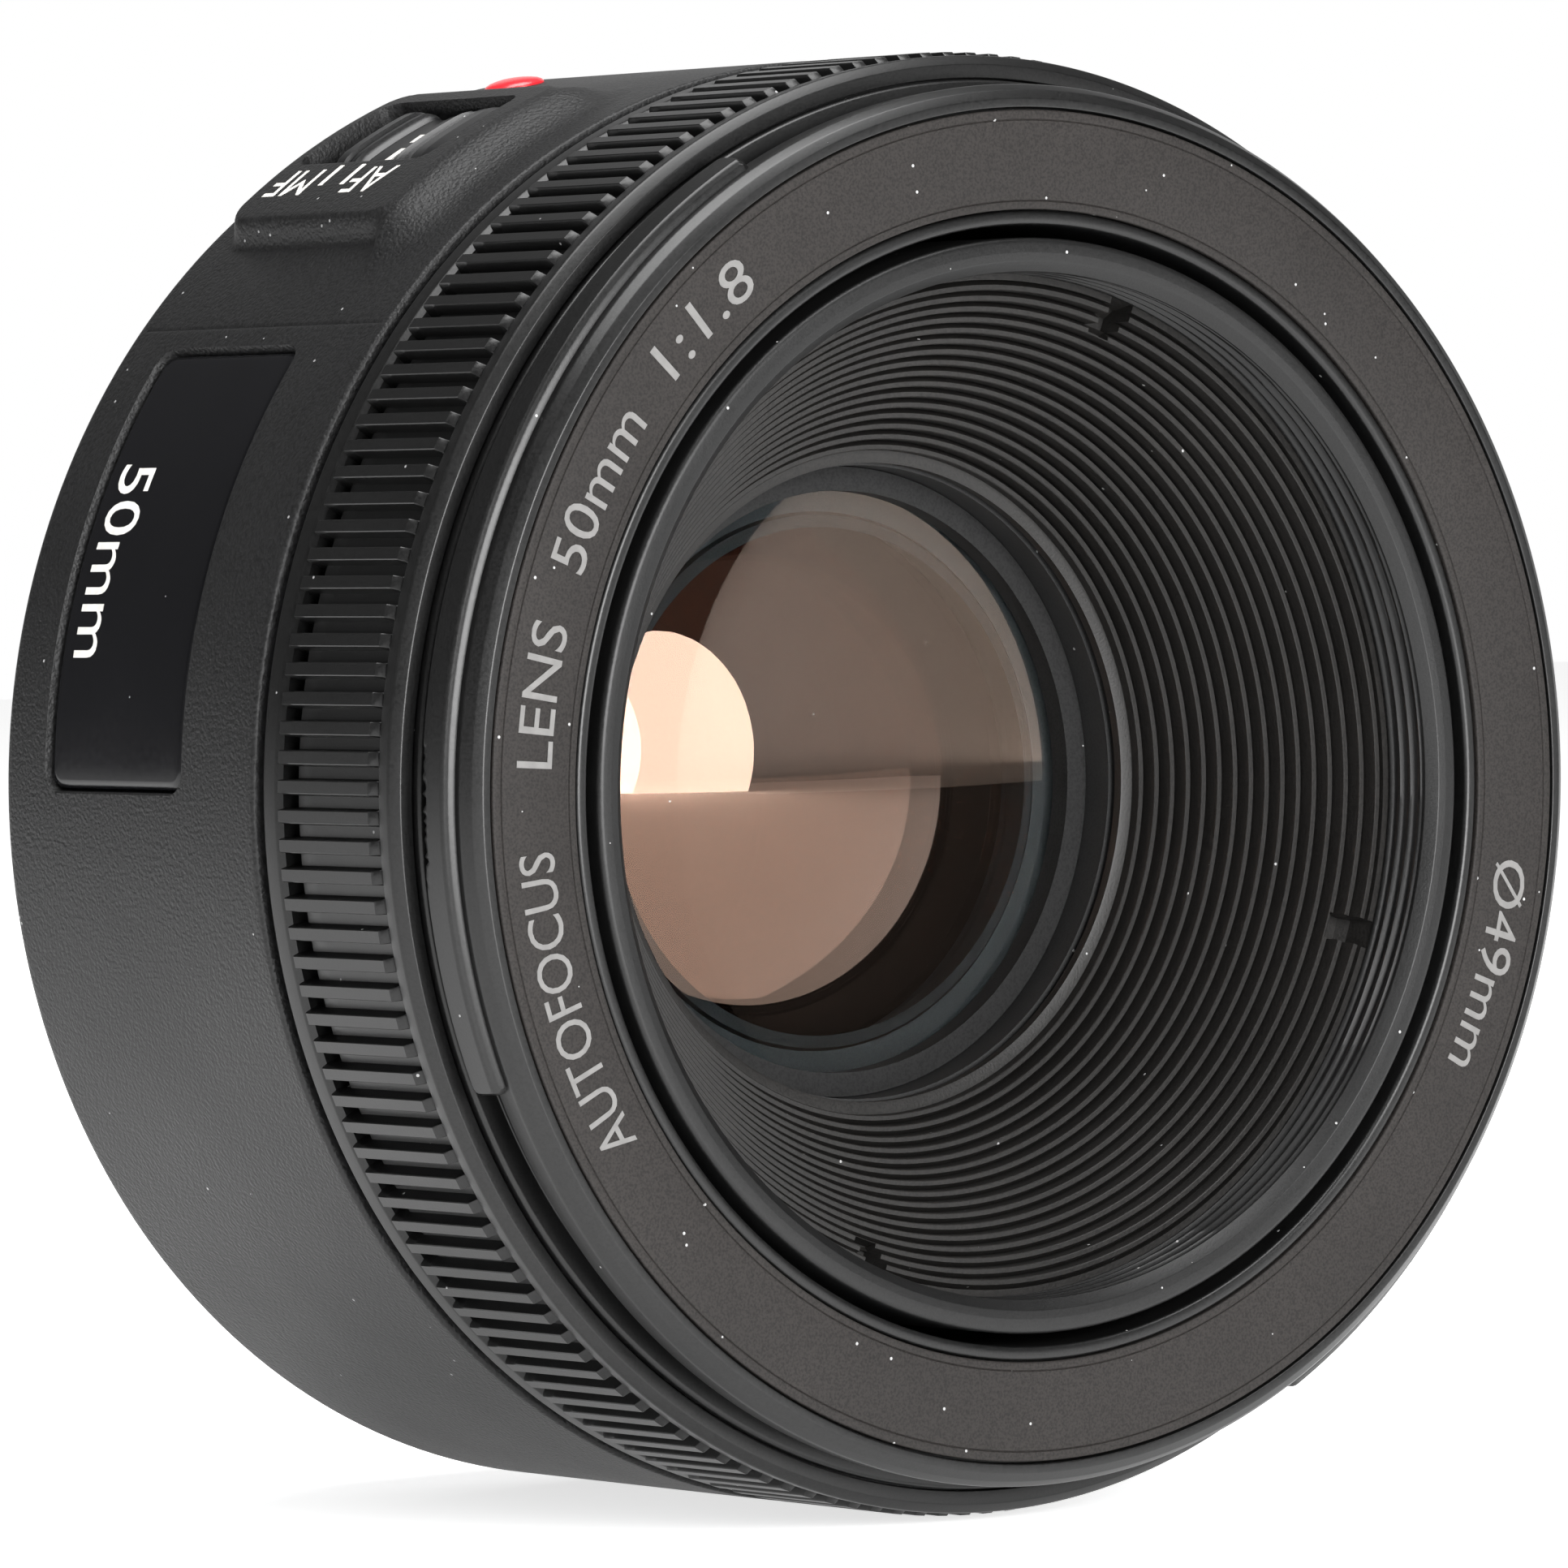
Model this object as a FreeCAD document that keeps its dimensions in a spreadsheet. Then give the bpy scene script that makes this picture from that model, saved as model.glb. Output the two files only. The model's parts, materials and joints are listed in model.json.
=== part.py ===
import FreeCAD, Part
import math
import os

import Sketcher

# Prime camera lens. Lengths are in millimetres and angles in degrees.
#
# The optical axis is the row's Y axis: the front faces -Y, +Z is up and the origin is the centre
# of the mount flange's rear face. Each piece is drawn in a local frame whose +Z points forward
# along the optical axis, +Y is up and +X is to the right for somebody looking at the front.
# A "station" (names that end in _at, _back or _front) is a distance forward of the mount flange.
# An angle is counted from +X towards +Y, so 90 is straight up.

DIMENSIONS = {
    # Barrel envelope
    "barrel_radius": 34.6, "barrel_bore": 32.6, "barrel_back": 1.6, "barrel_edge": 3.7,
    "barrel_front": 24.4, "barrel_wall_inner": 24.8, "barrel_wall_front": 3.4, "flange_radius": 31.2,
    "flange_face": 0, "flange_thickness": 1.5,
    # Bayonet on the rear
    "bayonet_bore": 23.6, "bayonet_radius": 25.3, "bayonet_depth": 4.4, "tab_radius": 26.8,
    "tab_back": 4.2, "tab_front": 2.4, "tab_start": 20, "tab_sweep": 58, "tab_count": 3,
    "mount_screw_circle": 28.4, "mount_screw_first": 20, "mount_screw_count": 4,
    "mount_screw_hole": 0.95, "mount_screw_clear": 0.9, "mount_head_hole": 1.7, "mount_head_depth": 0.8,
    "mount_shank": 0.85, "mount_head": 1.55, "mount_screw_end": 3.3,
    "lock_pin_hole": 1.3, "lock_pin_depth": 1.2, "lock_pin_angle": 245, "lock_pin_circle": 28.5,
    # Rear baffle and electrical contacts
    "baffle_radius": 23.5, "baffle_wall": 22.6, "baffle_opening": 14.6, "baffle_back": 4.6,
    "baffle_plate_front": 3.4, "baffle_front": 3.3,
    "contact_angle": 281, "contact_sweep": 68, "contact_inner": 17.4, "contact_outer": 21.8,
    "contact_back": 5.4, "contact_front": 1.5, "contact_gap": 0.1, "contact_circle": 19.8,
    "contact_pin": 0.8, "contact_pin_back": 5.5, "contact_pitch": 6.4, "contact_count": 8,
    "contact_screw_turn": 29.5, "contact_screw_head": 0.9, "contact_screw_shank": 0.5,
    "contact_head_depth": 0.6,
    # Fits that several pieces share, and how far a cutting tool runs past the face it cuts
    "flex_play": 0.2, "flex_channel_play": 0.3, "shaft_end_play": 0.03, "stem_weld": 0.1,
    "face_play": 0.05, "press_play": 0.02, "overcut": 1, "small_overcut": 0.5,
    # Cross slots in the screw heads, as shares of the head radius, and their depth
    "slot_length_share": 1.3, "slot_width_share": 0.3, "slot_depth": 0.3, "screw_sink": 0.1,
    # Switch pad, switch and the trim on the rear barrel
    "pad_radius": 35.8, "pad_start": 110.6, "pad_sweep": 19.6, "pad_back": 5.2, "pad_top_back": 6.0,
    "pad_top_front": 18.9, "pad_front": 19.9, "pad_root": 34.3, "rim_clear": 36.5,
    "window_start": 112.8, "window_sweep": 10.2, "window_back": 6.7, "window_front": 17.4,
    "window_floor": 33.7, "stem_slot_start": 116.6, "stem_slot_sweep": 2.6,
    "stem_slot_back": 9.2, "stem_slot_front": 14.4,
    "knob_start": 113.1, "knob_sweep": 9.6, "knob_back": 8.5, "knob_front": 17.2,
    "knob_radius": 35.6, "knob_floor": 33.85, "ridge_depth": 0.45, "ridge_width": 0.55,
    "stem_start": 116.9, "stem_sweep": 2.0, "stem_inner": 32.0, "stem_back": 11.4, "stem_front": 14.1,
    "detent_inner": 31.2, "detent_outer": 31.5, "detent_start": 112, "detent_sweep": 12,
    "detent_back": 7.5, "detent_front": 17.5,
    "plate_start": 142.5, "plate_sweep": 37.1, "plate_back": 7.0, "plate_front": 18.4,
    "plate_floor": 33.75, "plate_inner": 33.8, "plate_outer": 34.4, "plate_gap": 0.1,
    "plate_bevel": 0.35, "plate_trim_sweep": 5,
    "dot_radius": 1.5, "dot_height": 0.42, "dot_crown": 2.9, "dot_glue": 0.01,
    "dot_angle": 101, "dot_at": 6.8,
    # Focus ring
    "focus_bore": 32.25, "focus_back": 24.75, "focus_front": 35.3, "focus_lip": 34.35,
    "rib_count": 160, "rib_back": 26.3, "rib_front": 34.0, "rib_valley": 34.0, "rib_chamfer": 0.35,
    "rib_sink": 0.2, "rib_skirt": 0.3, "rib_foot_share": 0.3, "rib_top_share": 0.23,
    "rim_radius": 34.45, "rim_front_radius": 33.9, "rim_shoulder": 34.9, "rim_bore": 33.3,
    "rim_bore_back": 34.85, "washer_inner": 32.7, "washer_outer": 33.5, "washer_back": 24.5,
    "washer_front": 24.65,
    "focus_teeth": 165, "encoder_teeth": 13, "encoder_module": 0.4, "focus_teeth_back": 28.0,
    "focus_teeth_front": 30.6, "encoder_back": 28.2, "encoder_front": 30.4, "encoder_angle": 215,
    "encoder_shaft": 0.4, "encoder_shaft_bore": 0.45, "encoder_shaft_back": 23.5,
    "sensor_length": 3.6, "sensor_depth": 2.4, "sensor_back": 22.5, "sensor_top": 0.65,
    "sensor_height": 5.2,
    "encoder_window_sweep": 14, "encoder_window_back": 27.8, "encoder_window_front": 30.8,
    # Front barrel and its lettering ring
    "front_bore": 26.3, "front_tube": 27.3, "front_tube_back": 27.0, "front_face": 39.3,
    "name_inner": 27.02, "name_outer": 31.7, "name_back": 38.7, "seat_inner": 26.95,
    "seat_outer": 31.78, "seat_floor": 38.65, "front_edge": 32.2, "front_chamfer": 32.6,
    "front_chamfer_at": 38.95, "front_band": 32.9, "front_band_front": 38.3,
    "front_band_back": 37.2, "hood_groove": 32.0, "hood_groove_front": 37.0,
    "hood_groove_back": 35.7, "front_shoulder": 33.2, "shoulder_back": 34.95, "sleeve_radius": 32.2,
    "sleeve_bore": 31.2, "sleeve_back": 22.0, "front_wall_back": 36.8,
    "lug_radius": 33.6, "lug_bevel": 0.35, "lug_back": 36.2, "lug_front": 38.05, "lug_root": 31.9,
    "lug_start": 118.6, "lug_sweep": 85, "post_circle": 29.6, "post_radius": 1.35,
    "post_back": 4.7, "post_first": 30, "post_count": 3, "post_hole": 0.75,
    "post_hole_front": 11.5, "barrel_screw_shank": 0.7, "barrel_screw_head": 1.5,
    "barrel_head_hole": 1.6, "barrel_head_front": 2.6, "barrel_screw_back": 1.75,
    "barrel_screw_end": 11, "barrel_screw_clear": 0.8, "lug_count": 2,
    # Guide barrel, cam ring and their retainer
    "guide_bore": 22.2, "guide_radius": 23.2, "guide_back": 3.5, "guide_front": 26.0,
    "guide_flange": 31.0, "guide_flange_front": 4.6, "follower_radius": 1.0, "slot_play": 0.08,
    "follower_at": 9.5, "follower_inner": 20.9, "follower_outer": 24.4,
    "cam_overcut": 0.6, "follower_first": 40,
    "follower_count": 3, "focus_travel": 10.5, "cam_turn": 90,
    "cam_bore": 23.25, "cam_radius": 24.5, "cam_back": 4.9, "cam_gear_front": 6.5, "cam_front": 24.4,
    "cam_teeth": 102, "cam_module": 0.5, "retainer_radius": 25.2, "retainer_back": 24.6,
    "retainer_front": 25.4,
    # Focus motor and reduction gear
    "gear_angle": 240, "gear_small_teeth": 12, "gear_large_teeth": 17, "gear_module": 0.4,
    "pinion_teeth": 10, "gear_large_back": 6.8, "gear_large_front": 7.8, "axle_radius": 0.5,
    "axle_play": 0.05, "pinion_lip": 0.1, "bracket_back": 8.3, "bracket_front": 8.9, "bracket_inner": 26.1,
    "bracket_outer": 31.6, "bracket_start": 231, "bracket_sweep": 28, "bracket_leg": 1.6,
    "bracket_leg_inner": 28.8,
    "motor_radius": 2.9, "motor_front": 18.5, "motor_shaft": 0.5, "motor_boss": 1.2,
    # Circuit board and flexible cable
    "board_inner": 25.6, "board_outer": 31.0, "board_start": 275, "board_sweep": 108,
    "board_back": 19.6, "board_front": 20.4, "chip_height": 1.1, "chip_width": 3.4,
    "chip_share_1": 0.25, "chip_share_2": 0.45, "chip_share_3": 0.75, "board_post_play": 0.2,
    "chip_length": 5.6, "chip_circle": 28.0, "flex_angle": 281, "flex_start": 277.5, "flex_sweep": 7,
    "flex_thickness": 0.2, "flex_inner": 20.6, "flex_floor": 3.05, "flex_outer": 31.6,
    "flex_channel": 0.45,
    # Moving inner barrel
    "rim_out": 25.7, "rim_in": 24.6, "rim_at": 39.2, "thread_radius": 24.1, "thread_chamfer_at": 38.7,
    "relief_radius": 24.8, "thread_back": 36.15,
    "inner_flange_back": 26.4, "inner_flange_front": 27.6, "inner_radius": 22.15,
    "inner_bore": 20.6, "inner_back": 6.0,
    "cone_foot_share": 0.1, "cone_land_share": 0.5,
    "cone_rim": 24.7, "cone_rim_front": 35.95, "cone_rim_back": 34.9, "cone_opening": 15.3,
    "cone_lip": 15.9, "cone_lip_front": 26.3, "cone_lip_back": 25.75, "cone_top": 23.8,
    "cone_ribs": 16, "cone_rib_depth": 0.45, "cone_back_radius": 16.6,
    # Front cell, spacers and retaining rings
    "cell_radius": 20.5, "cell_flange_back": 19.6, "cell_flange_front": 25.4, "cell_neck": 13.6,
    "cell_back": 11.4, "cell_front_bore": 15.2, "cell_front_seat": 22.3, "retaining_inner": 14.0,
    "retaining_outer": 15.15, "retaining_back": 22.55, "retaining_front": 23.7,
    "front_spacer_inner": 11.7, "front_spacer_outer": 12.35, "front_spacer_back": 17.0,
    "front_spacer_front": 20.9,
    "rear_tube": 14.0, "rear_cell_back": 4.6, "rear_cell_front": 7.6, "rear_flange_back": 6.5,
    "rear_lip": 12.5, "rear_lip_front": 3.75, "rear_spacer_inner": 10.3, "rear_spacer_outer": 11.0,
    "rear_spacer_back": 2.5, "rear_spacer_front": 1.4, "rear_retainer_inner": 10.8,
    "rear_retainer_outer": 12.4, "rear_retainer_back": 4.55, "rear_retainer_front": 3.9,
    "seat_play": 0.05, "cell_opening": 9.7, "cell_seat_3": 11.55, "cell_bore_3": 10.95,
    "cell_seat_2": 14.8, "cell_bore_2": 12.45, "cell_seat_1": 20.75, "cell_bore_1": 14.65,
    "cell_bore_4": 9.95, "cell_seat_5": 2.75, "cell_bore_5": 11.05, "cell_seat_6": 2.66,
    "cell_bore_6": 11.65,
    # Aperture unit
    "iris_radius": 20.5, "iris_wall": 20.1, "iris_opening": 9.6, "iris_back": 7.8,
    "iris_base_front": 8.3, "iris_wall_front": 10.55, "iris_ring_back": 9.95,
    "iris_ring_front": 10.45, "iris_ring_outer": 20.0, "iris_ring_inner": 16.2,
    "iris_cover_back": 10.6, "iris_cover_front": 11.1, "iris_cover_opening": 10.0,
    "blade_count": 7, "blade_thickness": 0.12, "blade_pitch": 0.2, "blade_first": 8.42,
    "blade_pivot": 16.8, "blade_arm": 2.4, "blade_inner": 9.65, "blade_outer": 15.9,
    "blade_sweep": 98, "blade_ear": 0.65, "pivot_pin": 0.4, "drive_pin": 0.35, "pin_play": 0.06,
    "pivot_end_play": 0.1, "iris_slot_long": 0.45, "iris_slot_in": 0.4,
    "iris_module": 0.3, "iris_teeth": 123, "iris_pinion_teeth": 8, "iris_motor_angle": 25.7,
    "iris_sector": 20, "iris_motor_radius": 2.5, "iris_motor_back": 11.3, "iris_motor_front": 18.6,
    "iris_shaft": 0.35, "iris_shaft_hole": 1.6,
}

# Lens elements, front to rear: rim radius, rear and front stations of the rim, front vertex,
# front curvature radius, rear vertex and rear curvature radius. A curvature radius is positive
# where its centre lies behind the surface, and 0 stands for a flat face.
ELEMENTS = (
    ("lens_element_1", 14.6, 20.85, 26.0, 26.0, 29.5, 21.7, 120.0),
    ("lens_element_2", 12.4, 14.9, 21.1, 21.1, 18.5, 16.9, 35.0),
    ("lens_element_3", 10.9, 11.6, 16.6, 16.6, 35.0, 15.4, 14.0),
    ("lens_element_4", 9.9, 2.7, 7.5, 3.9, -13.5, 2.7, 0.0),
    ("lens_element_5", 11.0, -1.4, 2.68, 2.68, 0.0, -1.4, -20.0),
    ("lens_element_6", 11.6, -4.8, -1.7, -1.7, 60.0, -4.8, -60.0),
)

# The optical axis points along -Y, so local +Z is turned onto it.
FORWARD = FreeCAD.Placement(FreeCAD.Vector(), FreeCAD.Rotation(FreeCAD.Vector(1, 0, 0), 90))
Z_AXIS = FreeCAD.Vector(0, 0, 1)

doc = FreeCAD.newDocument("prime_lens")
sheet = doc.addObject("Spreadsheet::Sheet", "Dims")


def fill_sheet():
    """Write every driving dimension and lens size into the sheet, each under its own alias."""
    rows = dict(DIMENSIONS)
    fields = ("rim", "rim_back", "rim_front", "front_vertex", "front_curve", "rear_vertex", "rear_curve")
    for name, *sizes in ELEMENTS:
        for field, value in zip(fields, sizes):
            rows[name + "_" + field] = value
    for row, (alias, value) in enumerate(rows.items(), start=1):
        sheet.set("A%d" % row, alias)
        sheet.set("B%d" % row, str(value))
        sheet.setAlias("B%d" % row, alias)
    doc.recompute()


def signed_names(expression):
    """Split 'name + name - name' into (sign, name) pairs."""
    sign = 1
    for token in expression.split():
        if token in ("+", "-"):
            sign = 1 if token == "+" else -1
        else:
            yield sign, token


def size(expression):
    """Number that a sum or difference of sheet aliases stands for."""
    return sum(sign * getattr(sheet, name) for sign, name in signed_names(expression))


def bound(expression):
    """The same sum written for FreeCAD's expression engine."""
    return " ".join(("+ " if sign > 0 else "- ") + "Dims." + name
                    for sign, name in signed_names(expression)).removeprefix("+ ")


def new_body(label, placement=FORWARD):
    """Empty body of one piece."""
    body = doc.addObject("PartDesign::Body", label)
    body.Label = label
    body.Placement = placement
    return body


def origin_feature(body, role):
    """Origin plane or axis of a body, found by its role."""
    return next(item for item in body.Origin.OriginFeatures if item.Role == role)


def half_plane_sketch(body, corners, angle=None):
    """Closed outline of (radius, station) corners in the plane through the axis at an angle."""
    sketch = body.newObject("Sketcher::SketchObject", body.Label + "_section")
    sketch.AttachmentSupport = [(origin_feature(body, "XZ_Plane"), "")]
    sketch.MapMode = "FlatFace"
    if angle is not None:
        sketch.AttachmentOffset = FreeCAD.Placement(
            FreeCAD.Vector(), FreeCAD.Rotation(FreeCAD.Vector(0, 1, 0), size(angle)))
        sketch.setExpression("AttachmentOffset.Rotation.Angle", bound(angle))
    draw_outline(sketch, corners)
    return sketch


def draw_outline(sketch, corners):
    """Straight closed outline whose corners are bound to the sheet."""
    points = [FreeCAD.Vector(size(x), size(y), 0) for x, y in corners]
    sides = [Part.LineSegment(a, b) for a, b in zip(points, points[1:] + points[:1])]
    sketch.addGeometry(sides, False)
    count = len(corners)
    joints = [Sketcher.Constraint("Coincident", i, 2, (i + 1) % count, 1) for i in range(count)]
    sketch.addConstraint(joints)
    for i, (x, y) in enumerate(corners):
        across = sketch.addConstraint(Sketcher.Constraint("DistanceX", -1, 1, i, 1, size(x)))
        sketch.setExpression("Constraints[%d]" % across, bound(x))
        along = sketch.addConstraint(Sketcher.Constraint("DistanceY", -1, 1, i, 1, size(y)))
        sketch.setExpression("Constraints[%d]" % along, bound(y))


def circle_sketch(body, radius, station, circle=None, angle=None):
    """Circle across the axis at a station, centred on the axis or at a radius and an angle."""
    sketch = body.newObject("Sketcher::SketchObject", body.Label + "_circle")
    sketch.AttachmentSupport = [(origin_feature(body, "XY_Plane"), "")]
    sketch.MapMode = "FlatFace"
    turn = size(angle) if angle else 0
    sketch.AttachmentOffset = FreeCAD.Placement(FreeCAD.Vector(0, 0, size(station)),
                                                FreeCAD.Rotation(Z_AXIS, turn))
    sketch.setExpression("AttachmentOffset.Base.z", bound(station))
    if angle:
        sketch.setExpression("AttachmentOffset.Rotation.Angle", bound(angle))
    offset = size(circle) if circle else 0
    sketch.addGeometry(Part.Circle(FreeCAD.Vector(offset, 0, 0), Z_AXIS, size(radius)), False)
    rim = sketch.addConstraint(Sketcher.Constraint("Radius", 0, size(radius)))
    sketch.setExpression("Constraints[%d]" % rim, bound(radius))
    sketch.addConstraint(Sketcher.Constraint("PointOnObject", 0, 3, -1))
    if circle:
        reach = sketch.addConstraint(Sketcher.Constraint("DistanceX", -1, 1, 0, 3, offset))
        sketch.setExpression("Constraints[%d]" % reach, bound(circle))
    else:
        sketch.addConstraint(Sketcher.Constraint("PointOnObject", 0, 3, -2))
    return sketch


def revolve(body, corners, angle=None, sweep=None, cut=False):
    """Turn a half-plane outline about the axis, all the way or through a sweep."""
    kind = "PartDesign::Groove" if cut else "PartDesign::Revolution"
    sketch = half_plane_sketch(body, corners, angle)
    feature = body.newObject(kind, body.Label + ("_groove" if cut else "_turned"))
    feature.Profile = sketch
    feature.ReferenceAxis = (sketch, ["V_Axis"])
    feature.Angle = size(sweep) if sweep else 360
    if sweep:
        feature.setExpression("Angle", bound(sweep))
    sketch.Visibility = False
    return feature


def rectangle(inner, outer, back, front):
    """Section of a plain ring."""
    return [(inner, back), (outer, back), (outer, front), (inner, front)]


def ring(label, inner, outer, back, front):
    """Plain ring between two radii and two stations."""
    body = new_body(label)
    revolve(body, rectangle(inner, outer, back, front))
    return body


def drill(body, radius, back, front, circle=None, angle=None, count=None):
    """Round hole along the axis between two stations, repeated around the axis."""
    before = volume_of(body)
    sketch = circle_sketch(body, radius, back, circle, angle)
    hole = body.newObject("PartDesign::Pocket", body.Label + "_hole")
    hole.Profile = sketch
    hole.Reversed = True
    hole.Length = size(front) - size(back)
    hole.setExpression("Length", bound(front) + " - (" + bound(back) + ")")
    repeat(body, hole, count)
    if not volume_of(body) < before:
        raise RuntimeError(body.Label + ": a hole cut nothing")


def boss(body, radius, back, front, circle=None, angle=None, count=None):
    """Round post along the axis between two stations, repeated around the axis."""
    sketch = circle_sketch(body, radius, back, circle, angle)
    post = body.newObject("PartDesign::Pad", body.Label + "_post")
    post.Profile = sketch
    post.Length = size(front) - size(back)
    post.setExpression("Length", bound(front) + " - (" + bound(back) + ")")
    repeat(body, post, count)


def repeat(body, feature, count):
    """Spread a feature evenly around the axis."""
    if count:
        pattern = body.newObject("PartDesign::PolarPattern", body.Label + "_pattern")
        pattern.Originals = [feature]
        pattern.Axis = (origin_feature(body, "Z_Axis"), [""])
        pattern.Angle = 360
        pattern.Occurrences = int(size(count))
        pattern.setExpression("Occurrences", bound(count))
        body.Tip = pattern
    doc.recompute()


def volume_of(body):
    """Volume of a body once everything before it is up to date."""
    doc.recompute()
    return body.Shape.Volume


def plain_piece(label, shape, placement=FORWARD):
    """Piece whose outline is worked out here because no sketch feature suits it."""
    piece = doc.addObject("Part::Feature", label)
    piece.Label = label
    piece.Shape = shape
    piece.Placement = placement.multiply(shape.Placement)
    return piece


def machined(label, blank, cutter=None, added=None):
    """Finish a turned blank with a worked-out cutter, added material or both."""
    result = blank
    for kind, tool, suffix in (("Part::Fuse", added, "_added"), ("Part::Cut", cutter, "_cutter")):
        if tool is not None:
            step = doc.addObject(kind, label + "_less" if kind == "Part::Cut" else label + "_plus")
            step.Base = result
            step.Tool = plain_piece(label + suffix, tool)
            result = step
    result.Label = label
    return result


def polar(radius, angle, height=0.0):
    """Point at a radius, an angle in degrees and a station."""
    turn = math.radians(angle)
    return FreeCAD.Vector(radius * math.cos(turn), radius * math.sin(turn), height)


def prism(points, back, front):
    """Solid on a closed polygon between two stations."""
    base = [FreeCAD.Vector(p.x, p.y, back) for p in points]
    face = Part.Face(Part.makePolygon(base + base[:1]))
    return face.extrude(FreeCAD.Vector(0, 0, front - back))


def rod(radius, back, front, centre=None):
    """Round bar along the axis direction."""
    base = FreeCAD.Vector(centre.x, centre.y, back) if centre else FreeCAD.Vector(0, 0, back)
    return Part.makeCylinder(radius, front - back, base, Z_AXIS)


def tube(inner, outer, back, front):
    """Round tube on the axis."""
    return rod(outer, back, front).cut(rod(inner, back, front))


def wedge(inner, outer, back, front, start, sweep):
    """Part of a tube between two angles."""
    bar = Part.makeCylinder(outer, front - back, FreeCAD.Vector(0, 0, back), Z_AXIS, sweep)
    bar.rotate(FreeCAD.Vector(), Z_AXIS, start)
    return bar.cut(rod(inner, back, front))


OVERCUT, SMALL_OVERCUT = DIMENSIONS["overcut"], DIMENSIONS["small_overcut"]
ADDENDUM, DEDENDUM, BACKLASH, FLANK = 0.75, 1.05, 0.12, math.tan(math.radians(20))


def gear_points(teeth, module, phase=0.0, internal=False):
    """Corners of a gear with straight flanks, the first tooth (or gap, if internal) at phase."""
    pitch = module * teeth / 2
    side = -1 if internal else 1
    tip, root = pitch + side * ADDENDUM * module, pitch - side * DEDENDUM * module
    half = math.pi * module / 4 - BACKLASH * module
    at_tip = math.degrees((half - ADDENDUM * FLANK * module) / tip)
    at_root = math.degrees((half + DEDENDUM * FLANK * module) / root)
    step = 360 / teeth
    shift = phase + (step / 2 if internal else 0)
    for tooth in range(teeth):
        middle = shift + tooth * step
        yield polar(root, middle - at_root)
        yield polar(tip, middle - at_tip)
        yield polar(tip, middle + at_tip)
        yield polar(root, middle + at_root)


def gear(teeth, module, back, front, phase=0.0):
    """Solid spur gear without its bore."""
    return prism(list(gear_points(teeth, module, phase)), back, front)


def gear_void(teeth, module, back, front, phase=0.0):
    """Space inside an internal gear."""
    return prism(list(gear_points(teeth, module, phase, internal=True)), back, front)


# Rear: bayonet, baffle and contacts

def make_bayonet_mount():
    """Metal ring with the flange, three bayonet tabs, screw holes and the lock pin's blind hole."""
    body = new_body("bayonet_mount")
    corners = [("bayonet_bore", "- bayonet_depth"), ("bayonet_radius", "- bayonet_depth"),
               ("bayonet_radius", "flange_face"), ("flange_radius", "flange_face"),
               ("flange_radius", "flange_thickness"), ("bayonet_bore", "flange_thickness")]
    revolve(body, corners)
    tab = revolve(body, rectangle("bayonet_bore", "tab_radius", "- tab_back", "- tab_front"),
                  "tab_start", "tab_sweep")
    repeat(body, tab, "tab_count")
    drill(body, "mount_screw_hole", "flange_face", "flange_thickness", "mount_screw_circle",
          "mount_screw_first", "mount_screw_count")
    drill(body, "mount_head_hole", "flange_face", "mount_head_depth", "mount_screw_circle",
          "mount_screw_first", "mount_screw_count")
    drill(body, "lock_pin_hole", "flange_face", "lock_pin_depth", "lock_pin_circle", "lock_pin_angle")


def screw_set(label, head, shank, back, head_front, end, circle, angles):
    """Group of equal screws along the axis direction, each with a cross recess in its head."""
    screws = []
    for angle in angles:
        centre = polar(circle, angle)
        screw = rod(head, back, head_front, centre).fuse(rod(shank, back, end, centre))
        for turn in (0, 90):
            length, width = size("slot_length_share") * head, size("slot_width_share") * head
            slot = Part.makeBox(length, width, size("slot_depth"),
                                FreeCAD.Vector(-length / 2, -width / 2, back))
            slot.rotate(FreeCAD.Vector(), Z_AXIS, turn)
            slot.translate(centre)
            screw = screw.cut(slot)
        screws.append(screw)
    plain_piece(label, Part.makeCompound(screws))


def evenly(first, count):
    """Angles of a pattern that goes all the way round."""
    return [first + 360 * i / count for i in range(int(count))]


def make_mount_screws():
    """Screws that hold the bayonet mount on the rear barrel."""
    screw_set("mount_screws", size("mount_head"), size("mount_shank"), size("screw_sink"),
              size("mount_head_depth"),
              size("mount_screw_end"), size("mount_screw_circle"),
              evenly(size("mount_screw_first"), size("mount_screw_count")))


def make_rear_baffle():
    """Black cup inside the mount with the openings for the rear cell and the contact block."""
    blank = new_body("rear_baffle_blank")
    revolve(blank, [("baffle_opening", "- baffle_back"), ("baffle_radius", "- baffle_back"),
                    ("baffle_radius", "baffle_front"), ("baffle_wall", "baffle_front"),
                    ("baffle_wall", "- baffle_plate_front"), ("baffle_opening", "- baffle_plate_front")])
    gap = size("contact_gap")
    sweep = size("contact_sweep") + 1
    opening = wedge(size("contact_inner") - gap, size("contact_outer") + gap, -size("baffle_back") - OVERCUT,
                    -size("baffle_plate_front") + OVERCUT, size("contact_angle") - sweep / 2, sweep)
    notch_sweep = size("flex_sweep") + 2
    notch = wedge(size("baffle_wall") - OVERCUT, size("baffle_radius") + OVERCUT,
                  size("flex_floor") - size("flex_play"),
                  size("baffle_front") + OVERCUT, size("flex_angle") - notch_sweep / 2, notch_sweep)
    machined("rear_baffle", blank, opening.fuse(notch))


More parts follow.
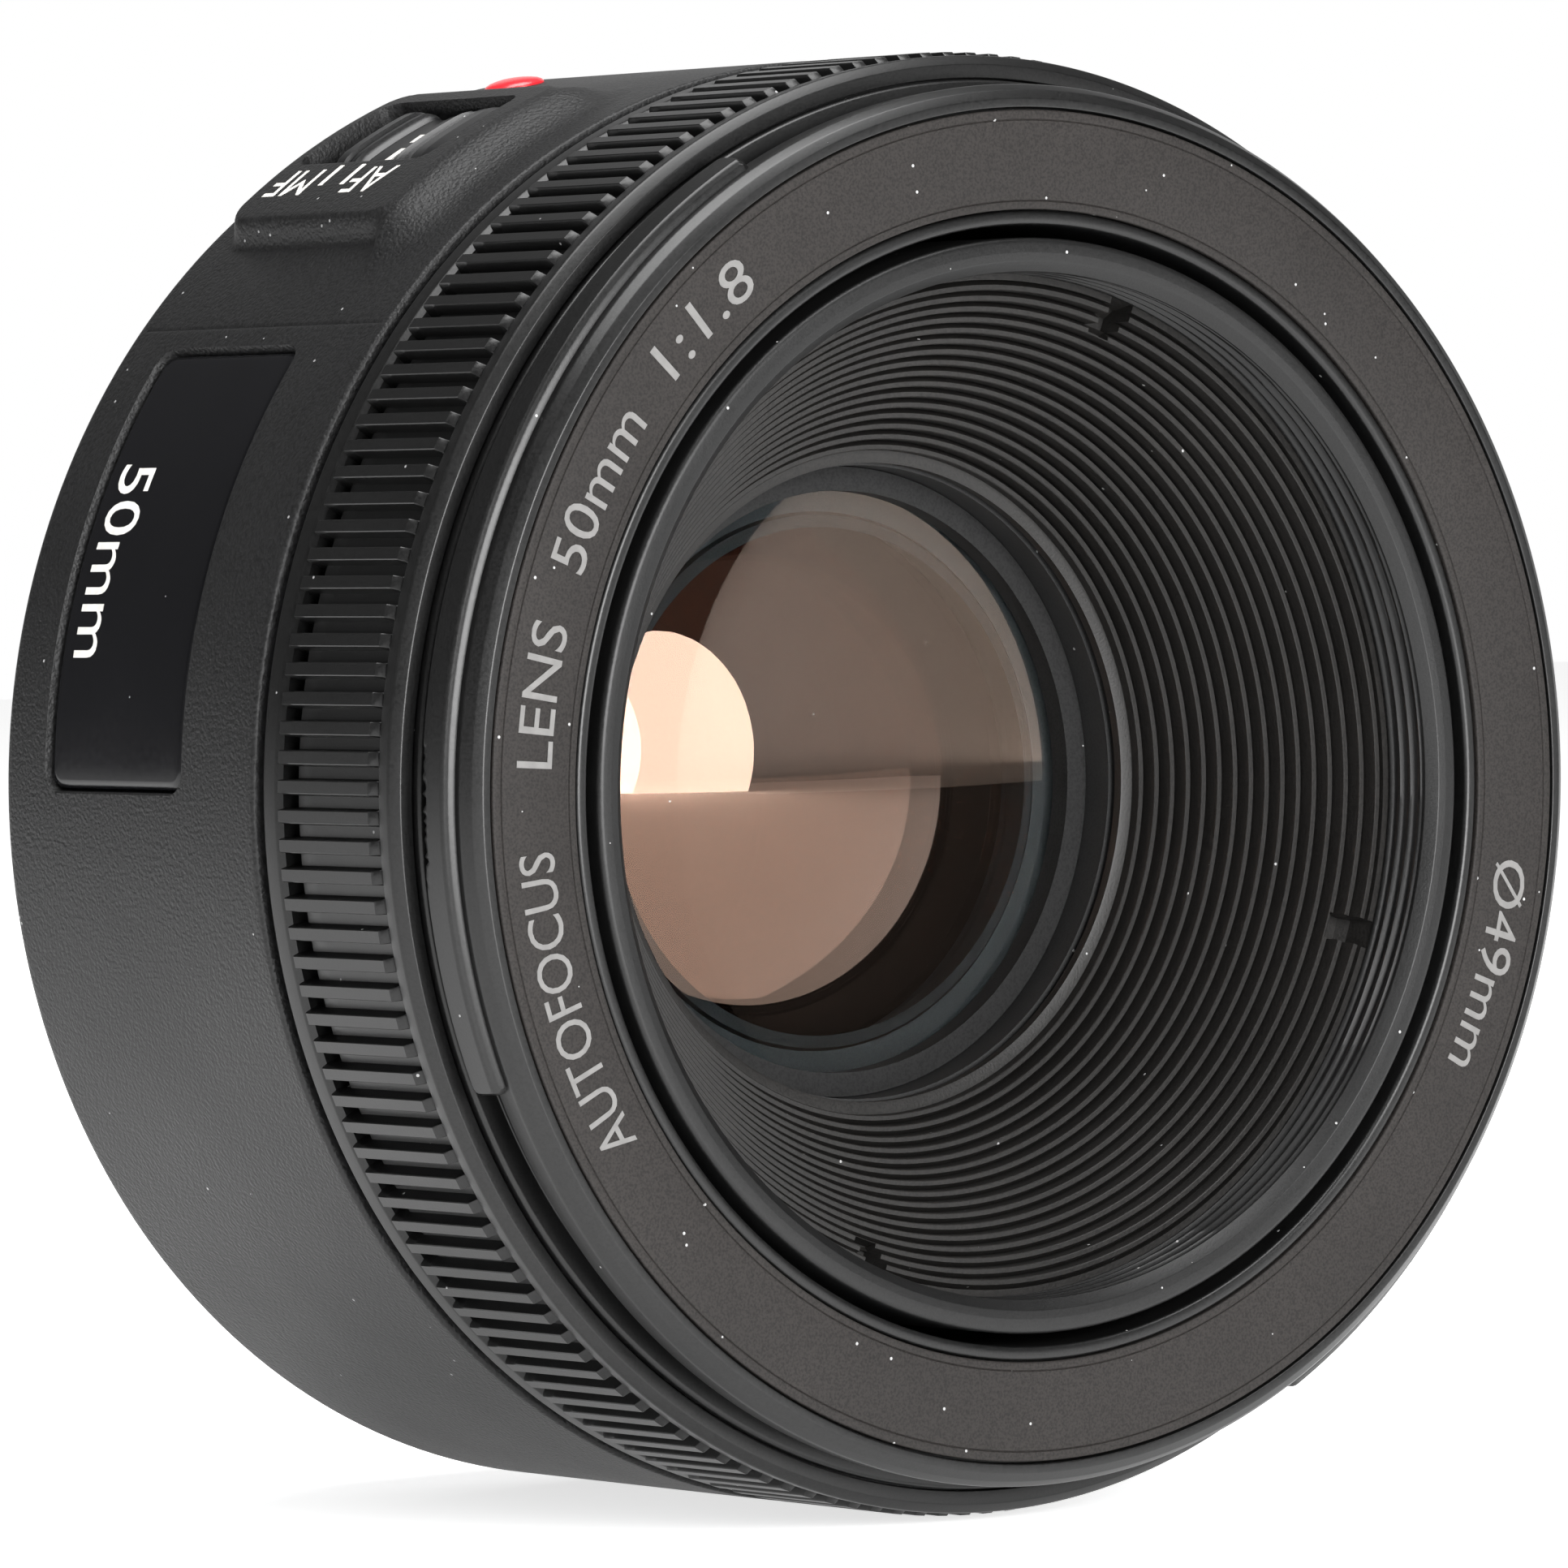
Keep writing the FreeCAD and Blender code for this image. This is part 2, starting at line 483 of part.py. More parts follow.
def make_contacts():
    """Insulating block on the rear baffle with its sprung pins' caps and two screws."""
    middle, pitch = size("contact_angle"), size("contact_pitch")
    count = int(size("contact_count"))
    circle, back, front = size("contact_circle"), size("contact_back"), size("contact_front")
    pins = [polar(circle, middle + pitch * (i - (count - 1) / 2)) for i in range(count)]
    ends = [middle - size("contact_screw_turn"), middle + size("contact_screw_turn")]
    head, shank, play = size("contact_screw_head"), size("contact_screw_shank"), size("seat_play")
    block = wedge(size("contact_inner"), size("contact_outer"), -back, -front,
                  middle - size("contact_sweep") / 2, size("contact_sweep"))
    for pin in pins:
        block = block.cut(rod(size("contact_pin") + play, -back - OVERCUT, -front + OVERCUT, pin))
    for end in ends:
        block = block.cut(rod(shank + play, -back - OVERCUT, -front + OVERCUT, polar(circle, end)))
        block = block.cut(rod(head + play, -back - OVERCUT, -back + size("contact_head_depth") + play,
                              polar(circle, end)))
    plain_piece("contact_block", block)
    plain_piece("contact_pins", Part.makeCompound(
        [rod(size("contact_pin"), -size("contact_pin_back"), -front, pin) for pin in pins]))
    screw_set("contact_screws", head, shank, -back, -back + size("contact_head_depth"), -front, circle, ends)


# Rear barrel with its pad, plate and index

def make_rear_barrel():
    """Outer shell: wall, chamfered rear wall, raised switch pad and the recess for the plate."""
    blank = new_body("rear_barrel_blank")
    revolve(blank, [("barrel_wall_inner", "barrel_back"), ("barrel_bore", "barrel_back"),
                    ("barrel_radius", "barrel_edge"), ("barrel_radius", "barrel_front"),
                    ("barrel_bore", "barrel_front"), ("barrel_bore", "barrel_wall_front"),
                    ("barrel_wall_inner", "barrel_wall_front")])
    revolve(blank, [("pad_root", "pad_back"), ("pad_radius", "pad_top_back"),
                    ("pad_radius", "pad_top_front"), ("pad_root", "pad_front")],
            "pad_start", "pad_sweep")
    revolve(blank, rectangle("plate_floor", "pad_radius", "plate_back", "plate_front"),
            "plate_start", "plate_sweep", cut=True)
    revolve(blank, rectangle("window_floor", "rim_clear", "window_back", "window_front"),
            "window_start", "window_sweep", cut=True)
    revolve(blank, rectangle("detent_outer", "rim_clear", "stem_slot_back", "stem_slot_front"),
            "stem_slot_start", "stem_slot_sweep", cut=True)
    drill(blank, "mount_screw_clear", "flange_face", "guide_back", "mount_screw_circle",
          "mount_screw_first", "mount_screw_count")
    drill(blank, "barrel_screw_clear", "flange_face", "guide_back", "post_circle", "post_first",
          "post_count")
    drill(blank, "barrel_head_hole", "flange_face", "barrel_head_front", "post_circle", "post_first",
          "post_count")
    channel = wedge(size("barrel_wall_inner") - OVERCUT, size("flex_outer") + size("flex_channel_play"),
                    size("barrel_wall_front") - size("flex_channel"),
                    size("barrel_wall_front") + OVERCUT,
                    size("flex_angle") - size("flex_sweep") / 2 - SMALL_OVERCUT,
                    size("flex_sweep") + OVERCUT)
    machined("rear_barrel", blank, channel)


def make_side_plate():
    """Glossy plate set into the side of the rear barrel, bevelled all round its face."""
    blank = new_body("side_plate_blank")
    revolve(blank, [("plate_inner", "plate_back + plate_gap"),
                    ("plate_outer - plate_bevel", "plate_back + plate_gap"),
                    ("plate_outer", "plate_back + plate_gap + plate_bevel"),
                    ("plate_outer", "plate_front - plate_gap - plate_bevel"),
                    ("plate_outer - plate_bevel", "plate_front - plate_gap"),
                    ("plate_inner", "plate_front - plate_gap")], "plate_start", "plate_sweep")
    trims = []
    margin = math.degrees(size("plate_gap") / size("plate_outer"))
    trim = size("plate_trim_sweep")
    for edge in (size("plate_start") - trim + margin, size("plate_start") + size("plate_sweep") - margin):
        trims.append(wedge(size("plate_inner") - OVERCUT, size("plate_outer") + OVERCUT,
                           size("plate_back") - OVERCUT, size("plate_front") + OVERCUT, edge, trim))
    machined("side_plate", blank, trims[0].fuse(trims[1]))


def make_index_dot():
    """Domed mounting index that stands on the rear barrel."""
    crown, height = size("dot_crown"), size("dot_height")
    dome = Part.makeSphere(crown, FreeCAD.Vector(0, 0, height - crown))
    dome = dome.common(rod(size("dot_radius"), 0, height))
    angle = size("dot_angle")
    local = FreeCAD.Placement(polar(size("barrel_radius") + size("dot_glue"), angle, size("dot_at")),
                              FreeCAD.Rotation(Z_AXIS, polar(1, angle)))
    plain_piece("index_dot", dome, FORWARD.multiply(local))


def make_switch():
    """Sliding focus mode knob with grip ridges and a stem, and the leaf spring under it."""
    inner, outer = size("knob_floor"), size("knob_radius")
    back, front = size("knob_back"), size("knob_front")
    start, sweep = size("knob_start"), size("knob_sweep")
    knob = wedge(inner, outer, back, front, start, sweep)
    step = 2 * size("ridge_width")
    for i in range(4):
        groove_at = back + size("ridge_width") + i * step
        knob = knob.cut(wedge(outer - size("ridge_depth"), outer + OVERCUT, groove_at,
                              groove_at + size("ridge_width"), start - 1, sweep + 2))
    stem = wedge(size("stem_inner"), inner + size("stem_weld"), size("stem_back"), size("stem_front"),
                 size("stem_start"), size("stem_sweep"))
    plain_piece("af_mf_switch", knob.fuse(stem).removeSplitter())
    leaf = new_body("detent_spring")
    revolve(leaf, rectangle("detent_inner", "detent_outer", "detent_back", "detent_front"),
            "detent_start", "detent_sweep")


# Focus ring, its encoder and the front barrel

def make_focus_ring():
    """Ribbed manual focus ring with an internal gear that drives the encoder."""
    blank = new_body("focus_ring_blank")
    revolve(blank, [("focus_bore", "focus_back"), ("focus_lip", "focus_back"), ("focus_lip", "rib_back"),
                    ("rib_valley", "rib_back"), ("rib_valley", "rib_front"), ("rim_radius", "rib_front"),
                    ("rim_radius", "rim_shoulder"), ("rim_front_radius", "focus_front"),
                    ("rim_bore", "focus_front"), ("rim_bore", "rim_bore_back"),
                    ("focus_bore", "rim_bore_back")])
    count, crest = int(size("rib_count")), size("barrel_radius")
    valley = size("rib_valley") - size("rib_sink")
    pitch = 360 / count
    outline = []
    for rib in range(count):
        middle = rib * pitch
        foot, top = size("rib_foot_share") * pitch, size("rib_top_share") * pitch
        outline += [polar(valley, middle - foot), polar(crest, middle - top),
                    polar(crest, middle + top), polar(valley, middle + foot)]
    back, front, chamfer = size("rib_back"), size("rib_front"), size("rib_chamfer")
    envelope = rod(crest + OVERCUT, back, front - chamfer)
    envelope = envelope.fuse(Part.makeCone(crest, crest - chamfer, chamfer,
                                           FreeCAD.Vector(0, 0, front - chamfer), Z_AXIS))
    core = rod(valley - size("rib_skirt"), back - OVERCUT, front + OVERCUT)
    ribs = prism(outline, back, front).common(envelope).cut(core)
    teeth = gear_void(int(size("focus_teeth")), size("encoder_module"), size("focus_teeth_back"),
                      size("focus_teeth_front"), size("encoder_angle"))
    machined("focus_ring", blank, teeth, ribs)


def make_encoder():
    """Small gear on a shaft that reports the focus ring's turn, and the sensor that carries it."""
    module, angle = size("encoder_module"), size("encoder_angle")
    reach = module * (size("focus_teeth") - size("encoder_teeth")) / 2
    centre = polar(reach, angle)
    back, front = size("encoder_back"), size("encoder_front")
    wheel = gear(int(size("encoder_teeth")), module, back, front, angle)
    wheel = wheel.fuse(rod(size("encoder_shaft"), size("encoder_shaft_back"), front))
    local = FreeCAD.Placement(centre, FreeCAD.Rotation())
    plain_piece("encoder_gear", wheel, FORWARD.multiply(local))
    depth, length = size("sensor_depth"), size("sensor_length")
    sensor = Part.makeBox(depth, length, size("sensor_height"),
                          FreeCAD.Vector(size("sensor_top") - depth, -length / 2, size("sensor_back")))
    sensor = sensor.cut(rod(size("encoder_shaft_bore"),
                            size("encoder_shaft_back") - size("pivot_end_play"), back))
    turned = FreeCAD.Placement(centre, FreeCAD.Rotation(Z_AXIS, angle))
    plain_piece("encoder_sensor", sensor, FORWARD.multiply(turned))


def make_front_barrel():
    """Front shell: hood groove, lugs, sleeve for the focus ring, bore tube and screw posts."""
    blank = new_body("front_barrel_blank")
    revolve(blank, [("front_bore", "front_face"), ("seat_inner", "front_face"), ("seat_inner", "seat_floor"),
                    ("seat_outer", "seat_floor"), ("seat_outer", "front_face"), ("front_edge", "front_face"),
                    ("front_chamfer", "front_chamfer_at"), ("front_band", "front_band_front"),
                    ("front_band", "front_band_back"), ("hood_groove", "hood_groove_front"),
                    ("hood_groove", "hood_groove_back"), ("front_shoulder", "hood_groove_back"),
                    ("front_shoulder", "shoulder_back"), ("sleeve_radius", "shoulder_back"),
                    ("sleeve_radius", "sleeve_back"), ("sleeve_bore", "sleeve_back"),
                    ("sleeve_bore", "front_wall_back"), ("front_tube", "front_wall_back"),
                    ("front_tube", "front_tube_back"), ("front_bore", "front_tube_back")])
    lug = revolve(blank, [("lug_root", "lug_back"), ("lug_radius - lug_bevel", "lug_back"),
                          ("lug_radius", "lug_back + lug_bevel"), ("lug_radius", "lug_front - lug_bevel"),
                          ("lug_radius - lug_bevel", "lug_front"), ("lug_root", "lug_front")],
                  "lug_start", "lug_sweep")
    repeat(blank, lug, "lug_count")
    boss(blank, "post_radius", "post_back", "seat_floor", "post_circle", "post_first", "post_count")
    drill(blank, "post_hole", "post_back", "post_hole_front", "post_circle", "post_first", "post_count")
    sweep = size("encoder_window_sweep")
    window = wedge(size("sleeve_bore") - SMALL_OVERCUT,
                   size("sleeve_radius") + size("press_play"), size("encoder_window_back"),
                   size("encoder_window_front"), size("encoder_angle") - sweep / 2, sweep)
    machined("front_barrel", blank, window)


def make_name_ring():
    """Flat lettering ring glued into the front face."""
    ring("name_ring", "name_inner", "name_outer", "name_back", "front_face")


def make_barrel_screws():
    """Long screws that pull the front barrel's posts onto the rear wall."""
    screw_set("barrel_screws", size("barrel_screw_head"), size("barrel_screw_shank"),
              size("barrel_screw_back"), size("barrel_head_front") - size("face_play"),
              size("barrel_screw_end"),
              size("post_circle"), evenly(size("post_first"), size("post_count")))


# Focusing mechanism

def radial_rod(radius, inner, outer, angle, station):
    """Round bar pointing away from the axis."""
    return Part.makeCylinder(radius, outer - inner, polar(inner, angle, station), polar(1, angle))


def make_guide_barrel():
    """Fixed tube whose straight slots keep the inner barrel from turning."""
    blank = new_body("guide_barrel_blank")
    revolve(blank, [("guide_bore", "guide_back"), ("guide_flange", "guide_back"),
                    ("guide_flange", "guide_flange_front"), ("guide_radius", "guide_flange_front"),
                    ("guide_radius", "guide_front"), ("guide_bore", "guide_front")])
    drill(blank, "barrel_screw_clear", "guide_back", "guide_flange_front", "post_circle", "post_first",
          "post_count")
    half = size("follower_radius") + size("slot_play")
    back, travel = size("follower_at"), size("focus_travel")
    inner, outer = size("guide_bore") - OVERCUT, size("guide_radius") + OVERCUT
    slots = []
    for angle in evenly(size("follower_first"), size("follower_count")):
        slot = Part.makeBox(outer - inner, 2 * half, travel, FreeCAD.Vector(inner, -half, back))
        slot.rotate(FreeCAD.Vector(), Z_AXIS, angle)
        slots += [slot] + [radial_rod(half, inner, outer, angle, end) for end in (back, back + travel)]
    machined("guide_barrel", blank, slots[0].multiFuse(slots[1:]))


def make_cam_ring():
    """Ring turned by the motor: helical slots push the followers along the axis."""
    inner, outer = size("cam_bore"), size("cam_radius")
    back, front = size("cam_back"), size("cam_front")
    body = tube(inner, outer, back, front)
    rim = gear(int(size("cam_teeth")), size("cam_module"), back, size("cam_gear_front"), size("gear_angle"))
    body = body.fuse(rim.cut(rod(inner, back - OVERCUT, front)))
    half, slack = size("follower_radius") + size("slot_play"), size("cam_overcut")
    travel, turn = size("focus_travel"), size("cam_turn")
    middle = (inner + outer) / 2
    lead = travel * 360 / turn
    slope = math.atan2(travel, math.radians(turn) * middle)
    path = Part.makeHelix(lead, travel, middle, 0, True)
    for angle in evenly(size("follower_first"), size("follower_count")):
        corners = [FreeCAD.Vector(x, 0, y) for x, y in
                   ((inner - slack, -half / math.cos(slope)), (outer + slack, -half / math.cos(slope)),
                    (outer + slack, half / math.cos(slope)), (inner - slack, half / math.cos(slope)))]
        slot = Part.Wire(path.Edges).makePipeShell([Part.makePolygon(corners + corners[:1])], True, True)
        slot.translate(FreeCAD.Vector(0, 0, size("follower_at")))
        slot.rotate(FreeCAD.Vector(), Z_AXIS, angle)
        ends = [radial_rod(half, inner - slack, outer + slack, angle - step * turn,
                           size("follower_at") + step * travel) for step in (0, 1)]
        body = body.cut(slot.multiFuse(ends))
    plain_piece("cam_ring", body)


def make_focus_drive():
    """Stepping motor, its pinion, the compound reduction gear, their bracket and axle."""
    module, cam_module = size("gear_module"), size("cam_module")
    small, large, pinion = (int(size(name)) for name in
                            ("gear_small_teeth", "gear_large_teeth", "pinion_teeth"))
    angle = size("gear_angle")
    reach = cam_module * (size("cam_teeth") + small) / 2
    spacing = module * (large + pinion) / 2
    motor_angle = angle + 2 * math.degrees(math.asin(spacing / 2 / reach))
    centre, motor_centre = polar(reach, angle), polar(reach, motor_angle)
    across = motor_centre - centre
    facing = math.degrees(math.atan2(across.y, across.x))
    back, floor = size("gear_large_back"), size("cam_back")
    front = size("gear_large_front")
    play = size("axle_play")
    lip = size("pinion_lip")
    wheel = gear(small, cam_module, floor + size("face_play"), back, angle + 180 + 180 / small)
    wheel = wheel.fuse(gear(large, module, back, front, facing))
    wheel = wheel.cut(rod(size("axle_radius") + play, floor - OVERCUT, front + OVERCUT))
    plain_piece("reduction_gear", wheel, FORWARD.multiply(FreeCAD.Placement(centre, FreeCAD.Rotation())))
    plain_piece("gear_axle",
                rod(size("axle_radius"), size("guide_flange_front"), size("bracket_front"), centre))
    motor_shaft = size("motor_shaft")
    driver = gear(pinion, module, back, front + lip, facing + 180 + 180 / pinion).cut(
        rod(motor_shaft + play / 2, floor - OVERCUT, front + OVERCUT))
    driver = driver.fuse(rod(motor_shaft + play / 2, back, front + lip))
    plain_piece("focus_motor_pinion", driver, FORWARD.multiply(
        FreeCAD.Placement(motor_centre, FreeCAD.Rotation())))
    bracket_back, bracket_front = size("bracket_back"), size("bracket_front")
    plate = wedge(size("bracket_inner"), size("bracket_outer"), bracket_back, bracket_front,
                  size("bracket_start"), size("bracket_sweep"))
    for end in (size("bracket_start"), size("bracket_start") + size("bracket_sweep") - size("bracket_leg")):
        plate = plate.fuse(wedge(size("bracket_leg_inner"), size("guide_flange"),
                                 size("guide_flange_front"), bracket_front, end, size("bracket_leg")))
    plate = plate.cut(rod(size("axle_radius") + play / 5, bracket_back - OVERCUT,
                          bracket_front + OVERCUT, centre))
    plate = plate.cut(rod(size("motor_boss") + play, bracket_back - OVERCUT, bracket_front + OVERCUT,
                          motor_centre))
    plain_piece("motor_bracket", plate.removeSplitter())
    motor = rod(size("motor_radius"), bracket_front, size("motor_front"), motor_centre)
    motor = motor.fuse(rod(size("motor_boss"), bracket_back, bracket_front, motor_centre))
    plain_piece("focus_motor", motor.removeSplitter())


def make_electronics():
    """Main circuit board with its chips and the flexible cable to the contacts."""
    blank = new_body("main_board_blank")
    revolve(blank, rectangle("board_inner", "board_outer", "board_back", "board_front"),
            "board_start", "board_sweep")
    post = polar(size("post_circle"), size("post_first"))
    machined("main_board", blank, rod(size("post_radius") + size("board_post_play"),
                                      size("board_back") - OVERCUT, size("board_front") + OVERCUT, post))
    chips = []
    width, length = size("chip_width"), size("chip_length")
    for place in (size("chip_share_1"), size("chip_share_2"), size("chip_share_3")):
        chip = Part.makeBox(width, length, size("chip_height"),
                            FreeCAD.Vector(size("chip_circle") - width / 2, -length / 2,
                                           size("board_front")))
        chip.rotate(FreeCAD.Vector(), Z_AXIS, size("board_start") + place * size("board_sweep"))
        chips.append(chip)
    plain_piece("board_chips", Part.makeCompound(chips))
    flex = new_body("flex_cable")
    revolve(flex, [("flex_inner", "- contact_front"), ("flex_inner + flex_thickness", "- contact_front"),
                   ("flex_inner + flex_thickness", "flex_floor"),
                   ("flex_outer + flex_thickness", "flex_floor"),
                   ("flex_outer + flex_thickness", "board_back"), ("board_outer", "board_back"),
                   ("board_outer", "board_back - flex_thickness"),
                   ("flex_outer", "board_back - flex_thickness"),
                   ("flex_outer", "flex_floor + flex_thickness"),
                   ("flex_inner", "flex_floor + flex_thickness")], "flex_start", "flex_sweep")


# Moving inner barrel, optics and aperture

def make_inner_barrel():
    """Sliding barrel: filter thread in front, optics in its rear tube, follower holes."""
    blank = new_body("inner_barrel_blank")
    revolve(blank, [("rim_in", "rim_at"), ("rim_out", "rim_at"), ("rim_out", "inner_flange_back"),
                    ("inner_radius", "inner_flange_back"), ("inner_radius", "inner_back"),
                    ("inner_bore", "inner_back"), ("inner_bore", "inner_flange_front"),
                    ("relief_radius", "inner_flange_front"), ("relief_radius", "thread_back"),
                    ("thread_radius", "thread_back"), ("thread_radius", "thread_chamfer_at")])
    angles = evenly(size("follower_first"), size("follower_count"))
    holes = [radial_rod(size("follower_radius") + size("press_play"), size("follower_inner"),
                        size("inner_radius") + OVERCUT, angle, size("follower_at")) for angle in angles]
    machined("inner_barrel", blank, Part.makeCompound(holes))
    plain_piece("cam_followers", Part.makeCompound(
        [radial_rod(size("follower_radius"), size("follower_inner") + size("press_play"),
                    size("follower_outer"), angle, size("follower_at")) for angle in angles]))


def make_baffle_cone():
    """Ribbed black cone between the filter thread and the front element."""
    top, lip, ribs = size("cone_top"), size("cone_lip"), int(size("cone_ribs"))
    opening, lip_front = size("cone_opening"), size("cone_lip_front")
    step = (top - lip) / ribs
    rise = (size("cone_rim_front") - lip_front) / ribs
    corners = [(opening, size("cone_lip_back")), (opening, lip_front)]
    for rib in range(ribs):
        radius, station = lip + rib * step, lip_front + rib * rise
        corners += [(radius, station + size("cone_foot_share") * rise), (radius, station + rise),
                    (radius + size("cone_land_share") * step, station + rise),
                    (radius + step, station + rise - size("cone_rib_depth"))]
    corners += [(top, size("cone_rim_front")), (size("cone_rim"), size("cone_rim_front")),
                (size("cone_rim"), size("cone_rim_back")),
                (size("cone_back_radius"), size("cone_lip_back"))]
    points = [FreeCAD.Vector(radius, 0, station) for radius, station in corners]
    face = Part.Face(Part.makePolygon(points + points[:1]))
    plain_piece("baffle_cone", face.revolve(FreeCAD.Vector(), Z_AXIS, 360))


def make_cells():
    """Front and rear cells with their spacers and retaining rings."""
    front = new_body("front_cell")
    revolve(front, [("cell_front_bore", "cell_flange_front"), ("cell_radius", "cell_flange_front"),
                    ("cell_radius", "cell_flange_back"), ("cell_neck", "cell_flange_back"),
                    ("cell_neck", "cell_back"), ("cell_opening", "cell_back"),
                    ("cell_opening", "cell_seat_3"), ("cell_bore_3", "cell_seat_3"),
                    ("cell_bore_3", "cell_seat_2"), ("cell_bore_2", "cell_seat_2"),
                    ("cell_bore_2", "cell_seat_1"), ("cell_bore_1", "cell_seat_1"),
                    ("cell_bore_1", "cell_front_seat"), ("cell_front_bore", "cell_front_seat")])
    ring("front_spacer", "front_spacer_inner", "front_spacer_outer", "front_spacer_back",
         "front_spacer_front")
    ring("front_retaining_ring", "retaining_inner", "retaining_outer", "retaining_back",
         "retaining_front")
    rear = new_body("rear_cell")
    revolve(rear, [("rear_lip", "- rear_cell_back"), ("rear_tube", "- rear_cell_back"),
                   ("rear_tube", "rear_flange_back"), ("cell_radius", "rear_flange_back"),
                   ("cell_radius", "rear_cell_front"), ("cell_bore_4", "rear_cell_front"),
                   ("cell_bore_4", "cell_seat_5"), ("cell_bore_5", "cell_seat_5"),
                   ("cell_bore_5", "- cell_seat_6"), ("cell_bore_6", "- cell_seat_6"),
                   ("cell_bore_6", "- rear_lip_front"), ("rear_lip", "- rear_lip_front")])
    ring("rear_spacer", "rear_spacer_inner", "rear_spacer_outer", "- rear_spacer_back",
         "rear_spacer_front")
    ring("rear_retaining_ring", "rear_retainer_inner", "rear_retainer_outer", "- rear_retainer_back",
         "- rear_retainer_front")


def sphere(label, vertex, curve):
    """Ball whose surface is a lens face: its centre lies one curvature radius behind the vertex."""
    ball = doc.addObject("Part::Sphere", label)
    radius = size(curve)
    ball.Radius = abs(radius)
    ball.setExpression("Radius", "abs(" + bound(curve) + ")")
    ball.Placement = FreeCAD.Placement(FreeCAD.Vector(0, 0, size(vertex) - radius), FreeCAD.Rotation())
    ball.setExpression("Placement.Base.z", bound(vertex) + " - (" + bound(curve) + ")")
    return ball


def make_element(name):
    """Glass element: a cylinder bounded by its two ground faces."""
    disc = doc.addObject("Part::Cylinder", name + "_rim_disc")
    disc.Radius = size(name + "_rim")
    disc.setExpression("Radius", bound(name + "_rim"))
    disc.Height = size(name + "_rim_front") - size(name + "_rim_back")
    disc.setExpression("Height", bound(name + "_rim_front") + " - (" + bound(name + "_rim_back") + ")")
    disc.Placement = FreeCAD.Placement(FreeCAD.Vector(0, 0, size(name + "_rim_back")), FreeCAD.Rotation())
    disc.setExpression("Placement.Base.z", bound(name + "_rim_back"))
    glass = disc
    for side, convex_sign in (("front", 1), ("rear", -1)):
        curve = name + "_" + side + "_curve"
        if size(curve):
            ball = sphere(name + "_" + side + "_ball", name + "_" + side + "_vertex", curve)
            convex = size(curve) * convex_sign > 0
            shaped = doc.addObject("Part::Common" if convex else "Part::Cut", name + "_" + side)
            shaped.Base, shaped.Tool = glass, ball
            glass = shaped
    glass.Label = name
    glass.Placement = FORWARD


def blade_shape():
    """Crescent blade for the pivot at angle 0, with its two pins still missing."""
    thick = size("blade_thickness")
    pivot, arm, ear = size("blade_pivot"), size("blade_arm"), size("blade_ear")
    leaf = wedge(size("blade_inner"), size("blade_outer"), 0, thick, 0, size("blade_sweep"))
    neck = Part.makeBox(pivot + arm - size("blade_inner") - OVERCUT, 2 * ear, thick,
                        FreeCAD.Vector(size("blade_inner") + OVERCUT, -ear, 0))
    tip = rod(ear, 0, thick, FreeCAD.Vector(pivot + arm, 0, 0))
    return leaf.multiFuse([neck, tip])


def make_blades():
    """Aperture blades stacked one above the other, each with a pivot pin and a drive pin."""
    thick, pitch = size("blade_thickness"), size("blade_pitch")
    pivot, arm = size("blade_pivot"), size("blade_arm")
    for index, angle in enumerate(evenly(0, size("blade_count"))):
        level = size("blade_first") + index * pitch
        blade = blade_shape()
        blade.translate(FreeCAD.Vector(0, 0, level))
        pivot_pin = rod(size("pivot_pin"), size("iris_back") + size("pivot_end_play"), level,
                        FreeCAD.Vector(pivot, 0, 0))
        drive_pin = rod(size("drive_pin"), level + thick, size("iris_ring_front") - size("face_play"),
                        FreeCAD.Vector(pivot + arm, 0, 0))
        blade = blade.multiFuse([pivot_pin, drive_pin])
        blade.rotate(FreeCAD.Vector(), Z_AXIS, angle)
        plain_piece("aperture_blade_%d" % (index + 1), blade)


